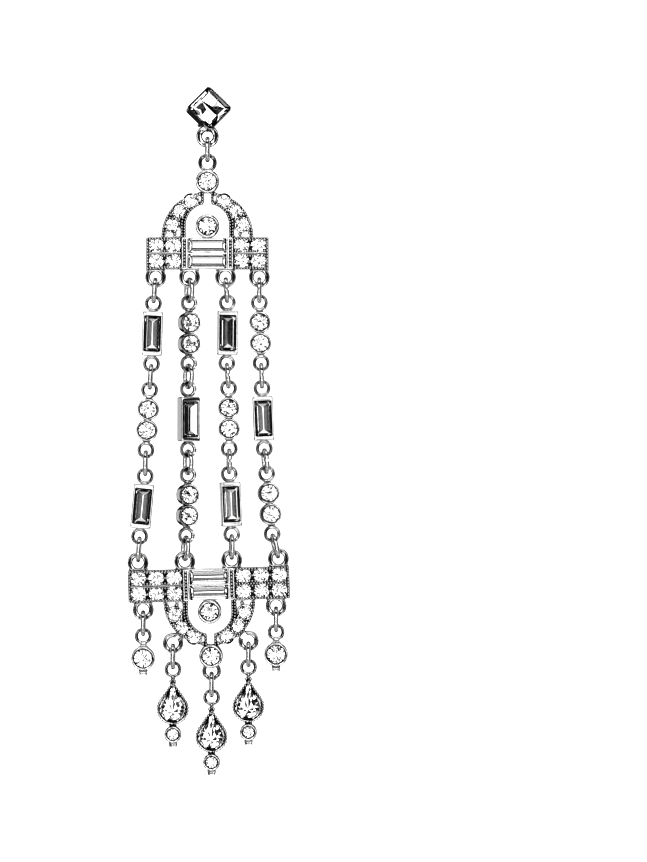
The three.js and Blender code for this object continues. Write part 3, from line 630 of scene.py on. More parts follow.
def loop_lug(hole, wall, z=0):
    """A cast loop about Y, with oxide on the inner edge of its face and in its hole."""
    section = [(hole / 2 + wall * share, y * LUG_DEPTH / 2) for share, y in LOOP_SECTION]
    turns = circle(1, ROUND_SIDES)
    points, faces = skin([[(r * cos, y, z + r * sin) for r, y in section] for cos, sin in turns], True)
    dark = (0, 1, len(section) - 1)
    return points, faces, [DARK if i % len(section) in dark else BRIGHT for i in range(len(faces))]


def tapered_root(top, bottom, top_width, bottom_width, depth):
    """The cast web between a lug and its carrier, which flares towards the carrier."""
    steps = 6
    layers = []
    for share in [step / steps for step in range(steps + 1)]:
        width = top_width + (bottom_width - top_width) * share**2
        outline = rounded_rectangle(width, depth, WEB_CORNER * depth)
        layers.append([(x, y, top + (bottom - top) * share) for x, y in outline])
    return skin(layers)


def ball(x, y, z, radius, flat=1.0, fineness=2):
    """A bead, pressed flatter front to back where asked."""
    work = bmesh.new()
    bmesh.ops.create_icosphere(work, subdivisions=fineness, radius=radius)
    work.verts.index_update()
    points = [(x + v.co.x, y + v.co.y * flat, z + v.co.z) for v in work.verts]
    faces = [[v.index for v in face.verts] for face in work.faces]
    work.free()
    return points, faces


def grains(part, path, y, pitch=GRAIN_PITCH, radius=GRAIN, closed=True):
    """Grains of metal along a path, each with the collar of oxide that the cloth leaves round its foot."""
    for x, z in evenly(path, pitch, closed):
        part.take(ball(x, y - radius * GRAIN_STAND, z, radius))
        part.take(ball(x, y, z, radius * GRAIN_COLLAR, COLLAR_FLATNESS, 1), DARK)


def ring_wire(cut_at, cut_width):
    """A jump ring about its own centre, in the YZ plane, with the cut where its ends are pushed together."""
    steps, sides = 56, 16
    cut = cut_width / RING_MEAN
    section = [(RING_MEAN / 2 + u, v) for u, v in circle(RING_WIRE / 2, sides)]
    layers = []
    for step in range(steps + 1):
        angle = math.radians(cut_at) + cut + (2 * math.pi - 2 * cut) * step / steps
        layers.append([(v, reach * math.cos(angle), reach * math.sin(angle)) for reach, v in section])
    return skin(layers)


# Stones, which are clear in front and foiled behind

def round_stone(x, z, radius, rim, rise=CROWN_RISE, turn=0):
    """A brilliant: table, stars, kites and girdle facets, and a foiled back. It is set a little askew, as
    hand-set stones are, and its turn gives the way that it leans."""
    outline = circle(radius, ROUND_POINTS, 0, 0, turn)
    mains, halves = outline[::2], outline[1::2]
    points = []

    def ring(flat, share, *levels):
        """Adds points of the outline, drawn in by a share and at these levels by turns."""
        start = len(points)
        for i, (px, pz) in enumerate(flat):
            points.append((x + px * share, levels[i % len(levels)], z + pz * share))
        return list(range(start, len(points)))

    back, depth = -rim + GIRDLE, radius * PAVILION_SLOPE
    lift = rise * (1 - ROUND_BREAK * math.cos(2 * math.pi / ROUND_POINTS)) / (1 - ROUND_TABLE)
    lows = [back + depth * LOW_DEPTH * (1 + sway) for sway in (LOW_UNEVENNESS, -LOW_UNEVENNESS)]
    deepest = (LEAN * radius * math.cos(7 * turn), LEAN * radius * math.sin(7 * turn))
    tops = ring(mains, ROUND_TABLE, -rim - rise)
    mids = ring(halves, ROUND_BREAK, -rim - lift)
    edge = ring(outline, 1, -rim)
    under = ring(outline, 1, back)
    low = ring(halves, LOW_PLACE, *lows)
    culet = ring([deepest], 1, back + depth)[0]
    clear, foiled = [tops], []
    for i in range(len(mains)):
        here, middle, after = 2 * i, 2 * i + 1, (2 * i + 2) % ROUND_POINTS
        clear += [
            [tops[i], tops[after // 2], mids[i]],
            [tops[i], mids[i], edge[here], mids[i - 1]],
            [mids[i], edge[middle], edge[here]],
            [mids[i], edge[after], edge[middle]],
            [edge[here], edge[middle], under[middle], under[here]],
            [edge[middle], edge[after], under[after], under[middle]],
        ]
        foiled += [
            [culet, low[i - 1], under[here], low[i]],
            [low[i], under[here], under[middle]],
            [low[i], under[middle], under[after]],
        ]
    return points, clear + foiled, [CRYSTAL] * len(clear) + [FOIL] * len(foiled)


def steps_at(steps):
    """Steps of a cut as (inset, depth), from the width and the slope in degrees of each facet."""
    inset = depth = 0
    found = []
    for width, slope in steps:
        inset += width
        depth += width * math.tan(math.radians(slope))
        found.append((inset, depth))
    return found


def baguette(width, length, rim, crown, back, end_slope):
    """A step cut. Within its outer row, each end of the back is one facet, which picks up the board above
    or below."""
    start, loss, least = CUT_CORNER

    def layer(inset, y, end_inset):
        w, h = width / 2 - inset, length / 2 - end_inset
        corner = min(max(least, start - inset * loss), w * 0.8)
        flat = [
            (w, -h + corner), (w, h - corner), (w - corner, h), (-w + corner, h),
            (-w, h - corner), (-w, -h + corner), (-w + corner, -h), (w - corner, -h),
        ]
        return [(x, y, z) for x, z in flat]

    crown_steps, back_steps = steps_at(crown), steps_at(back)
    rim_inset, rim_depth = back_steps[0]
    slope = math.tan(math.radians(end_slope))
    layers = [layer(inset, -rim - y, inset) for inset, y in reversed(crown_steps)] + [layer(0, -rim, 0)]
    clear = 8 * len(layers)
    layers.append(layer(0, -rim + GIRDLE, 0))
    for inset, y in back_steps:
        layers.append(layer(inset, -rim + GIRDLE + y, rim_inset + (y - rim_depth) / slope))
    points, faces = skin(layers)
    finishes = [CRYSTAL if i < clear else FOIL for i in range(len(faces) - 2)] + [CRYSTAL, FOIL]
    return points, faces, finishes


def link_baguette():
    """Steep outer facets that shine, and a nearly flat keel that goes dark, in fine lengthwise steps."""
    shown = [size - 2 * (BEZEL_LIP + STONE_GAP) for size in (LINK_STONE_WIDTH, LINK_STONE_LENGTH)]
    return baguette(*shown, FRAME_FRONT - GIRDLE_SINK, LINK_CROWN, LINK_BACK, LINK_END_SLOPE)


def bar_baguette(z):
    """A bar's stone lies across, so the upright step cut is turned a quarter. Two facets of it go dark."""
    upright = baguette(BAR_STONE_WIDTH, BAR_STONE_LENGTH, SLAB_FRONT, BAR_CROWN, BAR_BACK, BAR_END_SLOPE)
    return [(pz, py, z + px) for px, py, pz in upright[0]], *upright[1:]


def pear_stone(half_width, tip):
    """A pear whose back is steep at the rim and nearly flat within, so that it shines. Its heart's facets
    lean by turns a little more and less, and the ones that lean more go dark."""
    outline = evenly(pear(half_width, tip), PEAR_FACET)
    count = len(outline)
    heart = Vector(PEAR_HEART)
    rim_width, rim_depth = steps_at([PEAR_RIM])[0]
    front = -FRAME_FRONT + GIRDLE_SINK
    border = front + GIRDLE + rim_depth
    rim = [Vector(p) + (heart - Vector(p)).normalized() * rim_width for p in outline]
    waist = [p.lerp(heart, PEAR_WAIST) for p in rim]
    waist_y = [border + PEAR_HEART_DEPTH * PEAR_WAIST + PEAR_UNEVENNESS * (-1) ** i for i in range(count)]
    share, lift = PEAR_BREAK
    crown = [(PEAR_TABLE, -CROWN_RISE), (share, -CROWN_RISE * lift), (1, 0), (1, GIRDLE)]
    layers = [[(x * share, front + y, z * share) for x, z in outline] for share, y in crown]
    layers.append([(x, border, z) for x, z in rim])
    layers.append([(x, y, z) for (x, z), y in zip(waist, waist_y)])
    points, faces = skin(layers)
    faces.pop()
    last = len(points) - count
    faces += [[last + i, last + (i + 1) % count, len(points)] for i in range(count)]
    points.append((heart.x, border + PEAR_HEART_DEPTH, heart.y))
    # Three bands from the table to the girdle's back are clear, and so is the table, after all five bands
    return points, faces, [CRYSTAL if i < 3 * count or i == 5 * count else FOIL for i in range(len(faces))]


def square_stone(side):
    """The stud's stone, on its corner: a steep outer row and a shallow back with a ridge across. The two
    facets that fall from the ridge's ends lean more than the rest, and go dark."""
    def halfway(a, b):
        return (a[0] + b[0]) / 2, (a[1] + b[1]) / 2

    quarter = math.sqrt(0.5)
    flat = rounded_rectangle(side, side, STONE_CORNER, 1)
    corners = [((x + z) * quarter, (z - x) * quarter) for x, z in flat]
    outline = []
    for a, b, c in zip(corners[::2], corners[1::2], corners[2::2] + corners[:1]):
        outline += [a, b, halfway(b, c)]
    width, depth = steps_at([STUD_ROW])[0]
    tips = circle((side / 2 - width) / quarter, 4)
    border = [p for a, b in zip(tips, tips[1:] + tips[:1]) for p in (a, halfway(a, b))]
    front, under = -STUD_DEPTH, -STUD_DEPTH + GIRDLE
    crown = [(STUD_TABLE, front - CROWN_RISE), (1, front), (1, under)]
    points, faces = skin([[(x * share, y, z * share) for x, z in outline] for share, y in crown])
    faces.pop()
    clear = len(faces)
    first, inner = 2 * len(outline), len(points)
    points += [(x, under + depth, z) for x, z in border]
    points += [(x, under + depth + fall, z) for x, z, fall in STUD_RIDGE]
    for number in range(4):
        corner, mid, after = (inner + (2 * number + i) % 8 for i in range(3))
        low, high, middle, onwards = (first + (3 * number + i) % 12 for i in range(4))
        faces += [[low, high, corner], [high, middle, mid, corner], [middle, onwards, after, mid]]
    faces += [[inner + i for i in facet] for facet in STUD_FACETS]
    return points, faces, [CRYSTAL if i < clear else FOIL for i in range(len(faces))]


# Placing

def turned(degrees, axis):
    return Matrix.Rotation(math.radians(degrees), 4, axis)


def moved(x, y, z):
    return Matrix.Translation((x, y, z))


def hang_offset(hole):
    return (hole - RING_WIRE) / 2 - RUNNING_GAP


def ring_span(upper, lower):
    return RING_MEAN + hang_offset(upper) + hang_offset(lower)


def hang(at, towards, yaw):
    """The frame of a piece that hangs from one point towards another, turned by its yaw about that line."""
    lean = math.degrees(math.atan2(at.x - towards.x, at.z - towards.z))
    return moved(*at) @ turned(lean, "Y") @ turned(yaw, "Z")


def ring_between(name, body, upper, lower, yaw, upper_hole, lower_hole, opened=False):
    share = (hang_offset(upper_hole) + RING_MEAN / 2) / ring_span(upper_hole, lower_hole)
    centre = upper.lerp(lower, share)
    place = hang(centre, centre + lower - upper, yaw)
    shape = ring_wire(*(OPEN_CUT if opened else RING_CUT))
    hand_over(f"{name}_wire", Part().take(shape), place, [wire], body, replaces=[name])


def strand_holes(links, top_x, bottom_x, slack):
    """Holes down a strand, each piece's depth worked out from its length and its sideways step."""
    sizes = [TAB_HOLE] + [LUG_HOLE] * len(links) + [TAB_HOLE]
    spans = [ring_span(a, b) - slack for a, b in zip(sizes, sizes[1:])]
    lengths = [length for span in spans for length in (span, LINK_PITCH)][:-1]
    sways = [sway for link in links for sway in link[2:]] + [0]
    along, x, depth = 0, top_x, 0
    holes = [(x, depth)]
    for length, sway in zip(lengths, sways):
        along += length
        onwards = top_x + (bottom_x - top_x) * along / sum(lengths) + sway * LINK_PITCH
        depth += math.sqrt(length**2 - (onwards - x) ** 2)
        x = onwards
        holes.append((x, depth))
    return holes


def slack_of(links, top_x, bottom_x, depth):
    """How much shorter each ring's span gets where it isn't pulled taut, closed in on step by step."""
    slack = 0
    for _ in range(20):
        slack += (strand_holes(links, top_x, bottom_x, slack)[-1][1] - depth) / (len(links) + 1)
    return slack


# Castings

def cast(name, node, part, place, body="drop"):
    hand_over(f"{name}_casting", part, place, [casting, oxide], body, replaces=[node])


def stones(name, part, place, nodes=(), body="drop"):
    finish = [crystal, foil]
    hand_over(f"{name}_crystal", part, place, finish, body, smooth=False, replaces=nodes)


def stud():
    turn = turned(STUD_YAW, "Z") @ turned(STUD_PITCH, "X")
    inside = STUD_WIDTH - 2 * STUD_RIM
    outer = rounded_rectangle(STUD_WIDTH, STUD_WIDTH, STUD_CORNER)
    inner = rounded_rectangle(inside, inside, STONE_CORNER)
    box = cup(outer, inner, bezel_profile(STUD_DEPTH, 0, -SEAT_FLOOR), 2)
    part = Part().take(box, BRIGHT, turn @ turned(45, "Y"))
    shank = POST_FOOT + [(POST_LENGTH - before, share) for before, share in POST_END]
    rings = [[(x, y, z) for x, z in circle(POST_DIAMETER / 2 * share, POST_SIDES)] for y, share in shank]
    part.take(skin(rings), BRIGHT, turn)
    part.take(loop_lug(LUG_HOLE, STUD_LUG_WALL, -STUD_LUG_DROP), BRIGHT, moved(0, -STUD_LUG_FORWARD, 0))
    cast("stud", "stud_setting", part, Matrix.Identity(4), "stud")
    stones("stud", Part().take(square_stone(inside - 2 * STONE_GAP)), turn, ["stud_stone"], "stud")


def evaluated(name, body, cutters):
    """The body less its cutters, with its edges eased. A cut face takes its cutter's finish."""
    made = []
    for part in (body, *cutters):
        mesh = mesh_of(name, part, [casting, oxide], Matrix.Identity(4), 1)
        made.append(bpy.data.objects.new(name, mesh))
        bpy.context.scene.collection.objects.link(made[-1])
    whole = made[0]
    ease = whole.modifiers.new("ease", "BEVEL")
    ease.width, ease.segments = EASED_EDGE, 2
    ease.limit_method, ease.angle_limit = "ANGLE", math.radians(EASE_ANGLE)
    for tool in made[1:]:
        cut = whole.modifiers.new("cut", "BOOLEAN")
        cut.operation, cut.solver, cut.object = "DIFFERENCE", "EXACT", tool
    bpy.context.view_layer.update()
    mesh = bpy.data.meshes.new_from_object(whole.evaluated_get(bpy.context.evaluated_depsgraph_get()))
    shape = (
        [tuple(v.co) for v in mesh.vertices],
        [list(face.vertices) for face in mesh.polygons],
        [face.material_index for face in mesh.polygons],
    )
    for temporary in made:
        bpy.data.objects.remove(temporary)
    bpy.data.meshes.remove(mesh)
    return shape


def slot_angle(radius, edge=0):
    """Where a circle about the arch's middle meets the slot's side, or an edge this far from it."""
    return math.degrees(math.acos((SLOT_WIDTH / 2 + edge) / radius))


def plate_slab(bar_width):
    half, slot = bar_width / 2, SLOT_WIDTH / 2
    mouth = slot_angle(ARCH_OPENING)
    arch = arc(ARCH_RADIUS, 0, 180, 48)
    slab = [(-half, -BAR_HEIGHT), (half, -BAR_HEIGHT), (half, 0)] + arch + [(-half, 0)]
    opening = (
        [(-ARCH_OPENING, 0), (ARCH_OPENING, 0)]
        + arc(ARCH_OPENING, 0, mouth, 16, 0, ARCH_SPRING)
        + [(slot, SLOT_TOP), (-slot, SLOT_TOP)]
        + arc(ARCH_OPENING, 180 - mouth, 180, 16, 0, ARCH_SPRING)
    )
    return slab, opening


def pave_pitch(bar_width, columns):
    return (bar_width / 2 - FIELD_BORDER - RAIL_INNER - RAIL_WIDTH) / columns


def pave_places(bar_width, columns):
    start, pitch = RAIL_INNER + RAIL_WIDTH, pave_pitch(bar_width, columns)
    row = (BAR_HEIGHT / 2 - FIELD_BORDER + DIVIDER_WIDTH / 2) / 2
    return [
        (side * (start + pitch * (column + 0.5)), MIDDLE + level * row)
        for side in (-1, 1)
        for column in range(columns)
        for level in (1, -1)
    ]


def arch_places(spots=ARCH_STONES, outwards=0):
    return [
        (side * (r + outwards) * math.cos(math.radians(a)), (r + outwards) * math.sin(math.radians(a)))
        for side in (-1, 1)
        for a, r in spots
    ]


def arch_face():
    """The right half of the arch's sunk face, between its two edges."""
    opening, outside = ARCH_OPENING + ARCH_FACE_EDGE, ARCH_RADIUS - ARCH_FACE_EDGE
    mouth, top = (slot_angle(radius, ARCH_FACE_EDGE) for radius in (opening, outside))
    return arc(opening, 0, mouth, 16, 0, ARCH_SPRING) + arc(outside, top, 1, 40) + [(opening, 0.1)]


def cut_slab(name, bar_width, places):
    """A plate's slab, with its opening, sunk fields, seats and the arch's sunk face cut in."""
    slab, opening = plate_slab(bar_width)
    deep, divider = SLAB_BACK + SLAB_FRONT, DIVIDER_WIDTH / 2
    start, end = RAIL_INNER + RAIL_WIDTH - FIELD_SHIFT, bar_width / 2 - FIELD_BORDER - FIELD_SHIFT
    fields = [
        rectangle(side * start, side * end, low, high)
        for side in (-1, 1)
        for low, high in ((-BAR_HEIGHT + FIELD_EDGE, MIDDLE - divider), (MIDDLE + divider, -FIELD_EDGE))
    ]
    w, h = BAR_STONE_LENGTH / 2 + STONE_GAP, BAR_STONE_WIDTH / 2 + STONE_GAP
    long_seats = [rectangle(-w, w, z - h, z + h) for z in BAR_STONES]
    seats = [(PAVE_SEAT, spot) for spot in places] + [(ARCH_SEAT, spot) for spot in arch_places()]
    round_seats = [circle(radius, SEAT_SIDES, x, z) for radius, (x, z) in seats]
    faces = [[(side * x, z) for x, z in arch_face()] for side in (-1, 1)]
    cutters = []
    for outlines, floor, finish in (
        ([opening], deep, BRIGHT),
        (fields, -SLAB_FRONT + FIELD_DEPTH, DARK),
        (long_seats, -SLAB_FRONT + STONE_SEAT_DEPTH, DARK),
        (round_seats, SLAB_BACK - PAVE_FLOOR, DARK),
        (faces, -SLAB_FRONT + ARCH_FACE_DEPTH, BRIGHT),
    ):
        cutters += [Part().take(prism(outline, deep, floor), finish) for outline in outlines]
    return evaluated(name, Part().take(prism(slab, SLAB_FRONT, SLAB_BACK)), cutters)


def rail(part, x):
    """A raised rail across the bar, with a row of beads in its hollow."""
    top = -SLAB_FRONT - RAIL_RISE
    outer = rounded_rectangle(RAIL_WIDTH, BAR_HEIGHT, RAIL_CORNER)
    inner = rounded_rectangle(RAIL_WIDTH - 2 * RAIL_LIP, BAR_HEIGHT - 2 * RAIL_LIP, RAIL_HOLLOW_CORNER)
    profile = [(0, 0)] + [(share, top + fall) for share, fall in RAIL_PROFILE]
    part.take(cup(outer, inner, profile), BRIGHT, moved(x, 0, MIDDLE))
    row = [(x, -BAR_HEIGHT + RAIL_ROW_STOP), (x, -RAIL_ROW_STOP)]
    grains(part, row, top + RAIL_GRAIN_DEPTH, RAIL_GRAIN_PITCH, RAIL_GRAIN, False)


def plain_divider(part, left, right):
    """A smooth bar with a round top between the two rows of a field."""
    outer = rounded_rectangle(right - left - 2 * DIVIDER_STOP, DIVIDER_BAR, DIVIDER_CORNER)
    top = [(x, z * DIVIDER_TOP) for x, z in outer]
    profile = [(0, 0)] + [(share, -SLAB_FRONT - rise) for share, rise in DIVIDER_PROFILE]
    part.take(cup(outer, top, profile), BRIGHT, moved((left + right) / 2, 0, MIDDLE))


def arch_milgrain(part):
    """Two rows inside the arch, one outside, and grains between its stones."""
    def row(inset, end):
        radius = ARCH_OPENING + inset
        return [(radius, ARCH_ROW_START)] + arc(radius, 0, end, 24, 0, ARCH_SPRING)

    before_slot, second_stop = ARCH_ROW_STOPS
    into_slot = [(SLOT_WIDTH / 2 + ARCH_ROW_INSET, SLOT_TOP - SLOT_ROW_STOP)]
    paths = [
        row(ARCH_ROW_INSET, slot_angle(ARCH_OPENING) - before_slot) + into_slot,
        row(ARCH_SECOND_ROW, second_stop),
        arc(ARCH_RADIUS - ARCH_ROW_INSET, *OUTER_ROW, 32),
    ]
    for side in (-1, 1):
        for path in paths:
            grains(part, [(side * x, z) for x, z in path], -SLAB_FRONT, closed=False)
    for outwards in GAP_ROWS:
        for x, z in arch_places(ARCH_GAPS, outwards):
            part.take(ball(x, -SLAB_FRONT - GAP_STAND, z, GAP_GRAIN))


def holding_beads(part, places, bar_width, columns):
    """The beads that hold the pave stones, at their corners and between the columns."""
    across, up = HOLDING_AT
    ways = [(dx, dz) for dx in (-across, across) for dz in (-up, up)]
    held = {(round(x + dx, 2), round(z + dz, 2)) for x, z in places for dx, dz in ways}
    for x, z in sorted(held):
        part.take(ball(x, -SLAB_FRONT + CORNER_SINK, z, HOLDING_GRAIN))
    pitch = pave_pitch(bar_width, columns)
    for x, z in places:
        if abs(x) < bar_width / 2 - FIELD_BORDER - pitch:
            between_columns = x + math.copysign(pitch / 2, x)
            for dz in (-up, 0, up):
                part.take(ball(between_columns, -SLAB_FRONT + COLUMN_SINK, z + dz, HOLDING_GRAIN))


def plate(name, bar_width, columns, lugs, beaded_sides, place):
    """A bar with its arch. The divider is beaded on the sides that are named so, and plain on the others."""
    places = pave_places(bar_width, columns)
    part = Part().take(cut_slab(name, bar_width, places))
    for lug, lug_place in lugs:
        part.take(lug, BRIGHT, lug_place)
    for z in PLATE_ROUNDS:
        part.take(round_cup(z, PLATE_ROUND, PLATE_ROUND_WALL, back=SLAB_BACK))
    for side in (-1, 1):
        rail(part, side * (RAIL_INNER + RAIL_WIDTH / 2))
        ends = (RAIL_INNER + RAIL_WIDTH - RAIL_OVERLAP, bar_width / 2 - FIELD_BORDER)
        left, right = sorted(side * x for x in ends)
        grains(part, rectangle(left, right, -BAR_HEIGHT + MILGRAIN_INSET, -MILGRAIN_INSET), -SLAB_FRONT)
        if side in beaded_sides:
            grains(part, [(left, MIDDLE), (right, MIDDLE)], -SLAB_FRONT, closed=False)
        else:
            plain_divider(part, left, right)
    arch_milgrain(part)
    holding_beads(part, places, bar_width, columns)
    cast(name, f"{name}_plate", part, place)

    gems = Part()
    spots = [(spot, 0) for spot in places] + [(spot, ARCH_STAND) for spot in arch_places()]
    for number, ((x, z), stand) in enumerate(spots):
        rim = SLAB_FRONT - PAVE_SINK + stand
        gems.take(round_stone(x, z, PAVE_STONE, rim, PAVE_RISE + PAVE_SINK, number * TURN_STEP))
    for z in PLATE_ROUNDS:
        radius = PLATE_ROUND - PLATE_ROUND_WALL - STONE_GAP
        gems.take(round_stone(0, z, radius, ROUND_RIM - PLATE_ROUND_SINK, turn=z))
    stones(f"{name}_plate", gems, place)
    for number, z in enumerate(BAR_STONES):
        node = f"{name}_baguette_{number + 1}"
        stones(node, Part().take(bar_baguette(z)), place, [node])


def lug_on(root, wall, at):
    return [(loop_lug(TAB_HOLE, wall), at), (root, at)]


def tab_lug(x, way):
    """A D-shaped tab lug, below the bar's far edge or above its near edge, with its flat side on the bar."""
    z = (-BAR_HEIGHT if way < 0 else 0) + way * BAR_LUG_REACH
    flat = rounded_rectangle(TAB_ROOT, LUG_DEPTH * 0.8, TAB_CORNER)
    # The root stops just short of the hole
    levels = (-way * BAR_LUG_REACH, -way * (TAB_HOLE / 2 + 0.05))
    return lug_on(skin([[(px, py, level) for px, py in flat] for level in levels]), TAB_WALL, moved(x, 0, z))


def end_lug(reach):
    root = tapered_root(-TAB_HOLE / 2, -reach + PLATE_ROUND - ROUND_OVERLAP, *END_WEB)
    return lug_on(root, END_LUG_WALL, moved(0, 0, CROWN_ROUND_HEIGHT + reach))


def arch_lug(side):
    at = turned(side * (90 - ARCH_LUG_ANGLE), "Y") @ moved(0, 0, ARCH_RADIUS + ARCH_LUG_REACH)
    root = tapered_root(-TAB_HOLE / 2, -ARCH_LUG_REACH - LUG_WALL / 2, *ARCH_WEB)
    return lug_on(root, ARCH_LUG_WALL, at)


def link_ends(part, reach):
    """The two lugs of a link and the webs that join them to its setting, which starts at this reach."""
    for z, way in ((0, -1), (-LINK_PITCH, 1)):
        part.take(loop_lug(LUG_HOLE, LUG_WALL, z))
        part.take(tapered_root(z + way * (LUG_HOLE / 2 + WEB_START), z + way * reach, *LINK_WEB))


def round_link(name, place, number):
    part, gems = Part(), Part()
    link_ends(part, ROUND_LINK_REACH)
    spine = rounded_rectangle(SPINE_WIDTH, SPINE_DEPTH, SPINE_CORNER)
    ends = [(way * LINK_ROUND_PITCH - LINK_PITCH) / 2 for way in (-1, 1)]
    part.take(skin([[(x, y, z) for x, y in spine] for z in ends]))
    wall = LINK_ROUND_WALL + BEZEL_LIP
    for index, z in enumerate(ends):
        part.take(round_cup(z, LINK_ROUND, wall))
        turn = LINK_TURN_STEP * number + index
        gems.take(round_stone(0, z, LINK_ROUND - wall - STONE_GAP, ROUND_RIM - GIRDLE_SINK, turn=turn))
    cast(name, name, part, place)
    stones(name, gems, place)


def baguette_link(name, stone_name, place):
    middle = moved(0, 0, -LINK_PITCH / 2)
    part = Part()
    link_ends(part, (LINK_PITCH - FRAME_LENGTH) / 2 + WEB_OVERLAP)
    outer = rounded_rectangle(FRAME_WIDTH, FRAME_LENGTH, STONE_CORNER)
    shown = [size - 2 * BEZEL_LIP for size in (LINK_STONE_WIDTH, LINK_STONE_LENGTH)]
    inner = rounded_rectangle(*shown, FRAME_INNER_CORNER)
    profile = bezel_profile(FRAME_FRONT, FRAME_BACK, -FRAME_FRONT + STONE_SEAT_DEPTH)
    part.take(cup(outer, inner, profile, 2), BRIGHT, middle)
    cast(name, name, part, place)
    stones(stone_name, Part().take(link_baguette()), place @ middle, [stone_name])


def ridged_nub(part, top, height):
    """The cast-off tail under a round: a small block with ridges across and oxide between them."""
    half = height / NUB_RIDGES / 2
    for index in range(NUB_RIDGES):
        z = top - half * (2 * index + 1)
        outline = rounded_rectangle(NUB_WIDTH * (1 - NUB_TAPER * index), NUB_DEPTH, NUB_CORNER)
        part.take(skin([[(x * s, y * s, z + dz * half) for x, y in outline] for dz, s in NUB_PROFILE]))
    core = rounded_rectangle(*NUB_CORE)
    part.take(skin([[(x, y, z) for x, y in core] for z in (top + 0.3, top - height + 0.05)]), DARK)


def round_end(part, z, radius, wall, rim, nub, rise, turn):
    """Adds a round setting with its nub to a drop, and gives the stone for it."""
    part.take(round_cup(z, radius, wall, rim))
    ridged_nub(part, z - radius + NUB_OVERLAP, nub)
    return Part().take(round_stone(0, z, radius - wall - STONE_GAP, rim - GIRDLE_SINK, rise, turn))


def round_drop(name, place, turn):
    part = Part().take(loop_lug(LUG_HOLE, LUG_WALL))
    foot = -DROP_ROUND_REACH + DROP_ROUND - WEB_OVERLAP
    part.take(tapered_root(-LUG_HOLE / 2 - WEB_START, foot, *ROUND_WEB))
    sizes = (DROP_ROUND, DROP_ROUND_WALL, ROUND_RIM, NUB_HEIGHT, CROWN_RISE)
    gems = round_end(part, -DROP_ROUND_REACH, *sizes, turn)
    cast(name, name, part, place)
    stones(name, gems, place)


def pear_drop(name, stone_name, place, turn):
    down = moved(0, 0, -PEAR_REACH)
    part = Part().take(loop_lug(LUG_HOLE, LUG_WALL))
    stone_half, stone_tip = PEAR_HALF_WIDTH - PEAR_WALL, PEAR_TIP - PEAR_TIP_WALL
    profile = bezel_profile(FRAME_FRONT, FRAME_BACK, FRAME_BACK - SEAT_FLOOR)
    wall = pear(PEAR_HALF_WIDTH - FRINGE * FRINGE_WALL, PEAR_TIP - FRINGE * FRINGE_WALL)
    part.take(cup(wall, pear(stone_half, stone_tip), profile, 2), BRIGHT, down)
    for x, z in evenly(pear(PEAR_HALF_WIDTH - FRINGE * FRINGE_PATH, PEAR_TIP - FRINGE), FRINGE_PITCH):
        part.take(ball(x, -FRAME_FRONT + FRINGE_FRONT, z, FRINGE), BRIGHT, down)
        part.take(ball(x, -FRAME_FRONT + SHADE_FRONT, z, SHADE, SHADE_FLATNESS), DARK, down)
    neck, tip, foot = -LUG_HOLE / 2 - PEAR_WEB_START, PEAR_TIP - PEAR_REACH, -PEAR_REACH - PEAR_HALF_WIDTH
    tail = foot - TAIL_ROUND_GAP - TAIL_ROUND
    part.take(tapered_root(neck, tip - TIP_OVERLAP, *PEAR_WEB))
    part.take(tapered_root(foot + WEB_OVERLAP, tail + TAIL_ROUND - ROUND_OVERLAP, *TAIL_WEB))
    for beads, z, radius in (
        (NECK_BEADS, neck - 0.1, NECK_BEAD),
        (TIP_BEADS, tip + 0.06, NECK_BEAD),
        (TAIL_BEADS, foot - 0.1, TAIL_BEAD),
    ):
        for x, y in beads:
            part.take(ball(x, y, z, radius))
    sizes = (TAIL_ROUND, TAIL_ROUND_WALL, TAIL_RIM, TAIL_NUB_HEIGHT, TAIL_RISE)
    gems = round_end(part, tail, *sizes, turn)
    cast(name, name, part, place)
    stones(f"{name}_tail", gems, place)
    gem = pear_stone(stone_half - STONE_GAP, stone_tip - PEAR_TIP_GAP)
    stones(stone_name, Part().take(gem), place @ down, [stone_name])


# The earring, from the ear down

stud()
stud_hole = Vector((0, -STUD_LUG_FORWARD, -STUD_LUG_DROP))
upper_hole = stud_hole - Vector((0, 0, ring_span(LUG_HOLE, TAB_HOLE)))
ring_between("top_ring", "top_ring", stud_hole, upper_hole, 0, LUG_HOLE, TAB_HOLE)

upper_drop = CROWN_ROUND_HEIGHT + UPPER_END_LUG
upper_lugs = end_lug(UPPER_END_LUG)
for x in (UPPER_NEAR_LUG, UPPER_FAR_LUG):
    upper_lugs += tab_lug(-x, -1) + tab_lug(x, -1)
upper_place = moved(*upper_hole) @ moved(0, 0, -upper_drop)
plate("upper", UPPER_BAR_WIDTH, 2, upper_lugs, (), upper_place)

top_row = upper_hole - Vector((0, 0, upper_drop + BAR_HEIGHT + BAR_LUG_REACH))
top_spots = (-UPPER_FAR_LUG, -UPPER_NEAR_LUG, UPPER_NEAR_LUG, UPPER_FAR_LUG)
top_holes = [top_row + Vector((x, 0, 0)) for x in top_spots]
tilt = turned(LOWER_ROLL, "Y") @ turned(LOWER_PITCH, "X")
lower_spots = (-LOWER_FAR_LUG, -LOWER_NEAR_LUG, LOWER_NEAR_LUG, LOWER_FAR_LUG)
lower_row = [tilt @ Vector((x, 0, 0)) for x in lower_spots]
lower_x = upper_hole.x + LOWER_PLATE_SHIFT
taut = [
    top.z - strand_holes(links, top.x, lower_x + row.x, 0)[-1][1] - row.z
    for (_, links), top, row in zip(STRANDS, top_holes, lower_row)
]
lower_at = moved(lower_x, upper_hole.y, max(taut)) @ tilt

lower_lugs = end_lug(LOWER_END_LUG) + arch_lug(-1) + arch_lug(1)
for x in (LOWER_NEAR_LUG, LOWER_FAR_LUG):
    lower_lugs += tab_lug(-x, -1) + tab_lug(x, -1)
for x in (-OUTER_DROP_LUG, OUTER_DROP_LUG):
    lower_lugs += tab_lug(x, 1)
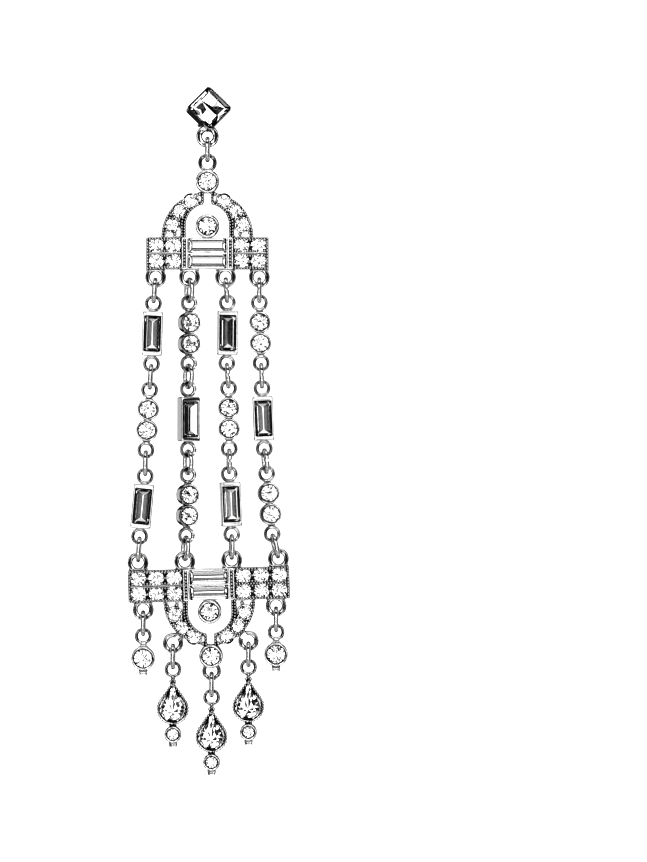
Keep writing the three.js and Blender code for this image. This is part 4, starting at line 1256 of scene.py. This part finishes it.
# Half a turn about Y hangs the arch down and leaves the front in front
turned_over = moved(0, 0, -BAR_LUG_REACH - BAR_HEIGHT) @ turned(180, "Y")
plate("lower", LOWER_BAR_WIDTH, 3, lower_lugs, (-1,), lower_at @ turned_over)

for number, ((ring_yaws, links), top, row) in enumerate(zip(STRANDS, top_holes, lower_row)):
    name = f"strand_{number + 1}"
    bottom = row + lower_at.translation
    slack = slack_of(links, top.x, bottom.x, top.z - bottom.z)
    holes = [Vector((x, top.y, top.z - depth)) for x, depth in strand_holes(links, top.x, bottom.x, slack)]
    last = len(ring_yaws) - 1
    for index, yaw in enumerate(ring_yaws):
        above = TAB_HOLE if index == 0 else LUG_HOLE
        below = TAB_HOLE if index == last else LUG_HOLE
        ends = holes[2 * index], holes[2 * index + 1]
        opened = (number, index) in OPEN_RINGS
        ring_between(f"{name}_ring_{index + 1}", "drop", *ends, yaw, above, below, opened)
    for index, (kind, yaw, _, _) in enumerate(links):
        link_place = hang(holes[2 * index + 1], holes[2 * index + 2], yaw)
        link_name = f"{name}_link_{index + 1}"
        if kind == "round":
            round_link(link_name, link_place, number + index)
        else:
            baguette_link(link_name, f"{name}_stone_{index + 1}", link_place)

arch_reach = ARCH_RADIUS + ARCH_LUG_REACH
arch_x = arch_reach * math.cos(math.radians(ARCH_LUG_ANGLE))
arch_z = BAR_HEIGHT + BAR_LUG_REACH + arch_reach * math.sin(math.radians(ARCH_LUG_ANGLE))
outer_z = BAR_HEIGHT + 2 * BAR_LUG_REACH
middle_z = BAR_HEIGHT + BAR_LUG_REACH + CROWN_ROUND_HEIGHT + LOWER_END_LUG
DROPS = [
    ("outer_left", "round", -OUTER_DROP_LUG, outer_z),
    ("inner_left", "pear", -arch_x, arch_z),
    ("middle", "pear", 0, middle_z),
    ("inner_right", "pear", arch_x, arch_z),
    ("outer_right", "round", OUTER_DROP_LUG, outer_z),
]
for number, (name, kind, x, z) in enumerate(DROPS):
    start = lower_at @ Vector((x, 0, -z))
    end = start - Vector((0, 0, ring_span(TAB_HOLE, LUG_HOLE)))
    ring_between(f"{name}_ring", "drop", start, end, 0, TAB_HOLE, LUG_HOLE)
    if kind == "round":
        round_drop(f"{name}_drop", Matrix.Translation(end), DROP_TURN_STEP * number)
    else:
        pear_drop(f"{name}_drop", f"{name}_stone", Matrix.Translation(end), DROP_TURN_STEP * number)


# Floor, light and camera

# The front board's half width and half height, as sines of the angles at which they are seen
FRONT_BOARD = (0.57, 0.72)
FRONT_LIGHT = 1.5
# The other boards: the way to each, the cosine of its half angle, and its brightness
BOARDS = [
    ((0, 1, 0), 0.93, 0.6),
    ((0, 0.2, 1), 0.85, 0.9),
    ((0, 0.3, -1), 0.88, 0.45),
    ((-1, 0.55, 0), 0.85, 0.42),
    ((1, 0.55, 0), 0.85, 0.42),
]
GAP_LIGHT = 0.03
# How soft the edges of the front board, the other boards and the cards are
FRONT_EDGE, BOARD_EDGE, CARD_EDGE = 0.02, 0.03, 0.01
# Small dark cards before the front board, which the facets pick up as specks: x, z and half width of each
CARDS = [
    (0.24, 0.14, 0.13),
    (-0.1, 0.26, 0.12),
    (-0.28, -0.08, 0.13),
    (0.1, -0.27, 0.12),
    (0.44, -0.12, 0.13),
    (-0.38, 0.26, 0.14),
    (-0.3, -0.36, 0.16),
    (0.2, 0.46, 0.13),
    (0.38, -0.44, 0.16),
    (-0.14, 0.58, 0.12),
    (0.05, -0.56, 0.13),
    (-0.49, 0.02, 0.09),
    (0.02, -0.08, 0.05),
]


def studio_world():
    """Six white boards round the earring with dark gaps between them, which metal and stones mirror: one
    in front and five more. The camera itself sees plain white."""
    world = bpy.data.worlds.new("six_white_boards")
    bpy.context.scene.world = world
    world.use_nodes = True
    tree = world.node_tree
    tree.nodes.clear()
    way = add(tree, "ShaderNodeTexCoord").outputs["Generated"]
    split = add(tree, "ShaderNodeSeparateXYZ", {"Vector": way}).outputs
    in_front = add(tree, "ShaderNodeMath", {0: split["Y"], 1: 0.0}, operation="LESS_THAN").outputs[0]
    light = add(tree, "ShaderNodeMath", {0: in_front, 1: FRONT_LIGHT}, operation="MULTIPLY").outputs[0]
    # Each edge: what measures it, where it is dark, where it is light, its light, and how it joins the rest
    edges = []
    for axis, half in zip("XZ", FRONT_BOARD):
        beside = add(tree, "ShaderNodeMath", {0: split[axis]}, operation="ABSOLUTE").outputs[0]
        edges.append((beside, half + FRONT_EDGE, half - FRONT_EDGE, 1, "MULTIPLY"))
    for towards, start, strength in BOARDS:
        middle = Vector(towards).normalized()
        facing = add(tree, "ShaderNodeVectorMath", {0: way, 1: middle}, operation="DOT_PRODUCT")
        edges.append((facing.outputs["Value"], start - BOARD_EDGE, start + BOARD_EDGE, strength, "MAXIMUM"))
    for x, z, half in CARDS:
        middle = Vector((x, -math.sqrt(1 - x * x - z * z), z))
        away = add(tree, "ShaderNodeVectorMath", {0: way, 1: middle}, operation="DISTANCE")
        edges.append((away.outputs["Value"], half - CARD_EDGE, half + CARD_EDGE, 1, "MULTIPLY"))
    for measure, dark, bright, strength, joined in edges:
        limits = {"Value": measure, "From Min": dark, "From Max": bright, "To Max": strength}
        edge = add(tree, "ShaderNodeMapRange", limits).outputs[0]
        light = add(tree, "ShaderNodeMath", {0: light, 1: edge}, operation=joined).outputs[0]
    level = add(tree, "ShaderNodeMath", {0: light, 1: GAP_LIGHT}, operation="MAXIMUM")
    boards = add(tree, "ShaderNodeBackground", {"Color": linear("ffffff"), "Strength": level.outputs[0]})
    plain = add(tree, "ShaderNodeBackground", {"Color": linear("ffffff"), "Strength": 1.0})
    seen = add(tree, "ShaderNodeLightPath").outputs["Is Camera Ray"]
    mix = add(tree, "ShaderNodeMixShader", {0: seen, 1: boards.outputs[0], 2: plain.outputs[0]})
    output = add(tree, "ShaderNodeOutputWorld")
    tree.links.new(mix.outputs[0], output.inputs["Surface"])


def studio_floor():
    side = FLOOR_SIDE / 2
    x, y, z = VIEW_CENTRE
    mesh = bpy.data.meshes.new("floor")
    corners = [(x + dx, y + dy, z - FLOOR_DROP) for dx, dy in rectangle(-side, side, -side, side)]
    mesh.from_pydata([Vector(c) * MM for c in corners], [], [[0, 1, 2, 3]])
    mesh.materials.append(painted_floor())
    floor = bpy.data.objects.new("floor", mesh)
    bpy.context.scene.collection.objects.link(floor)


def studio_camera():
    data = bpy.data.cameras.new("camera")
    data.sensor_fit = "VERTICAL"
    data.sensor_height = SENSOR
    data.lens = SENSOR * VIEW_DISTANCE * PIXELS_PER_MM / FRAME_PIXELS[1]
    camera = bpy.data.objects.new("camera", data)
    camera.location = (Vector(VIEW_CENTRE) - Vector((0, VIEW_DISTANCE, 0))) * MM
    camera.rotation_euler = (math.pi / 2, 0, 0)
    bpy.context.scene.collection.objects.link(camera)
    bpy.context.scene.camera = camera


studio_world()
studio_floor()
studio_camera()
bpy.context.scene.view_settings.view_transform = "Standard"
bpy.context.scene.view_settings.look = "Very High Contrast"
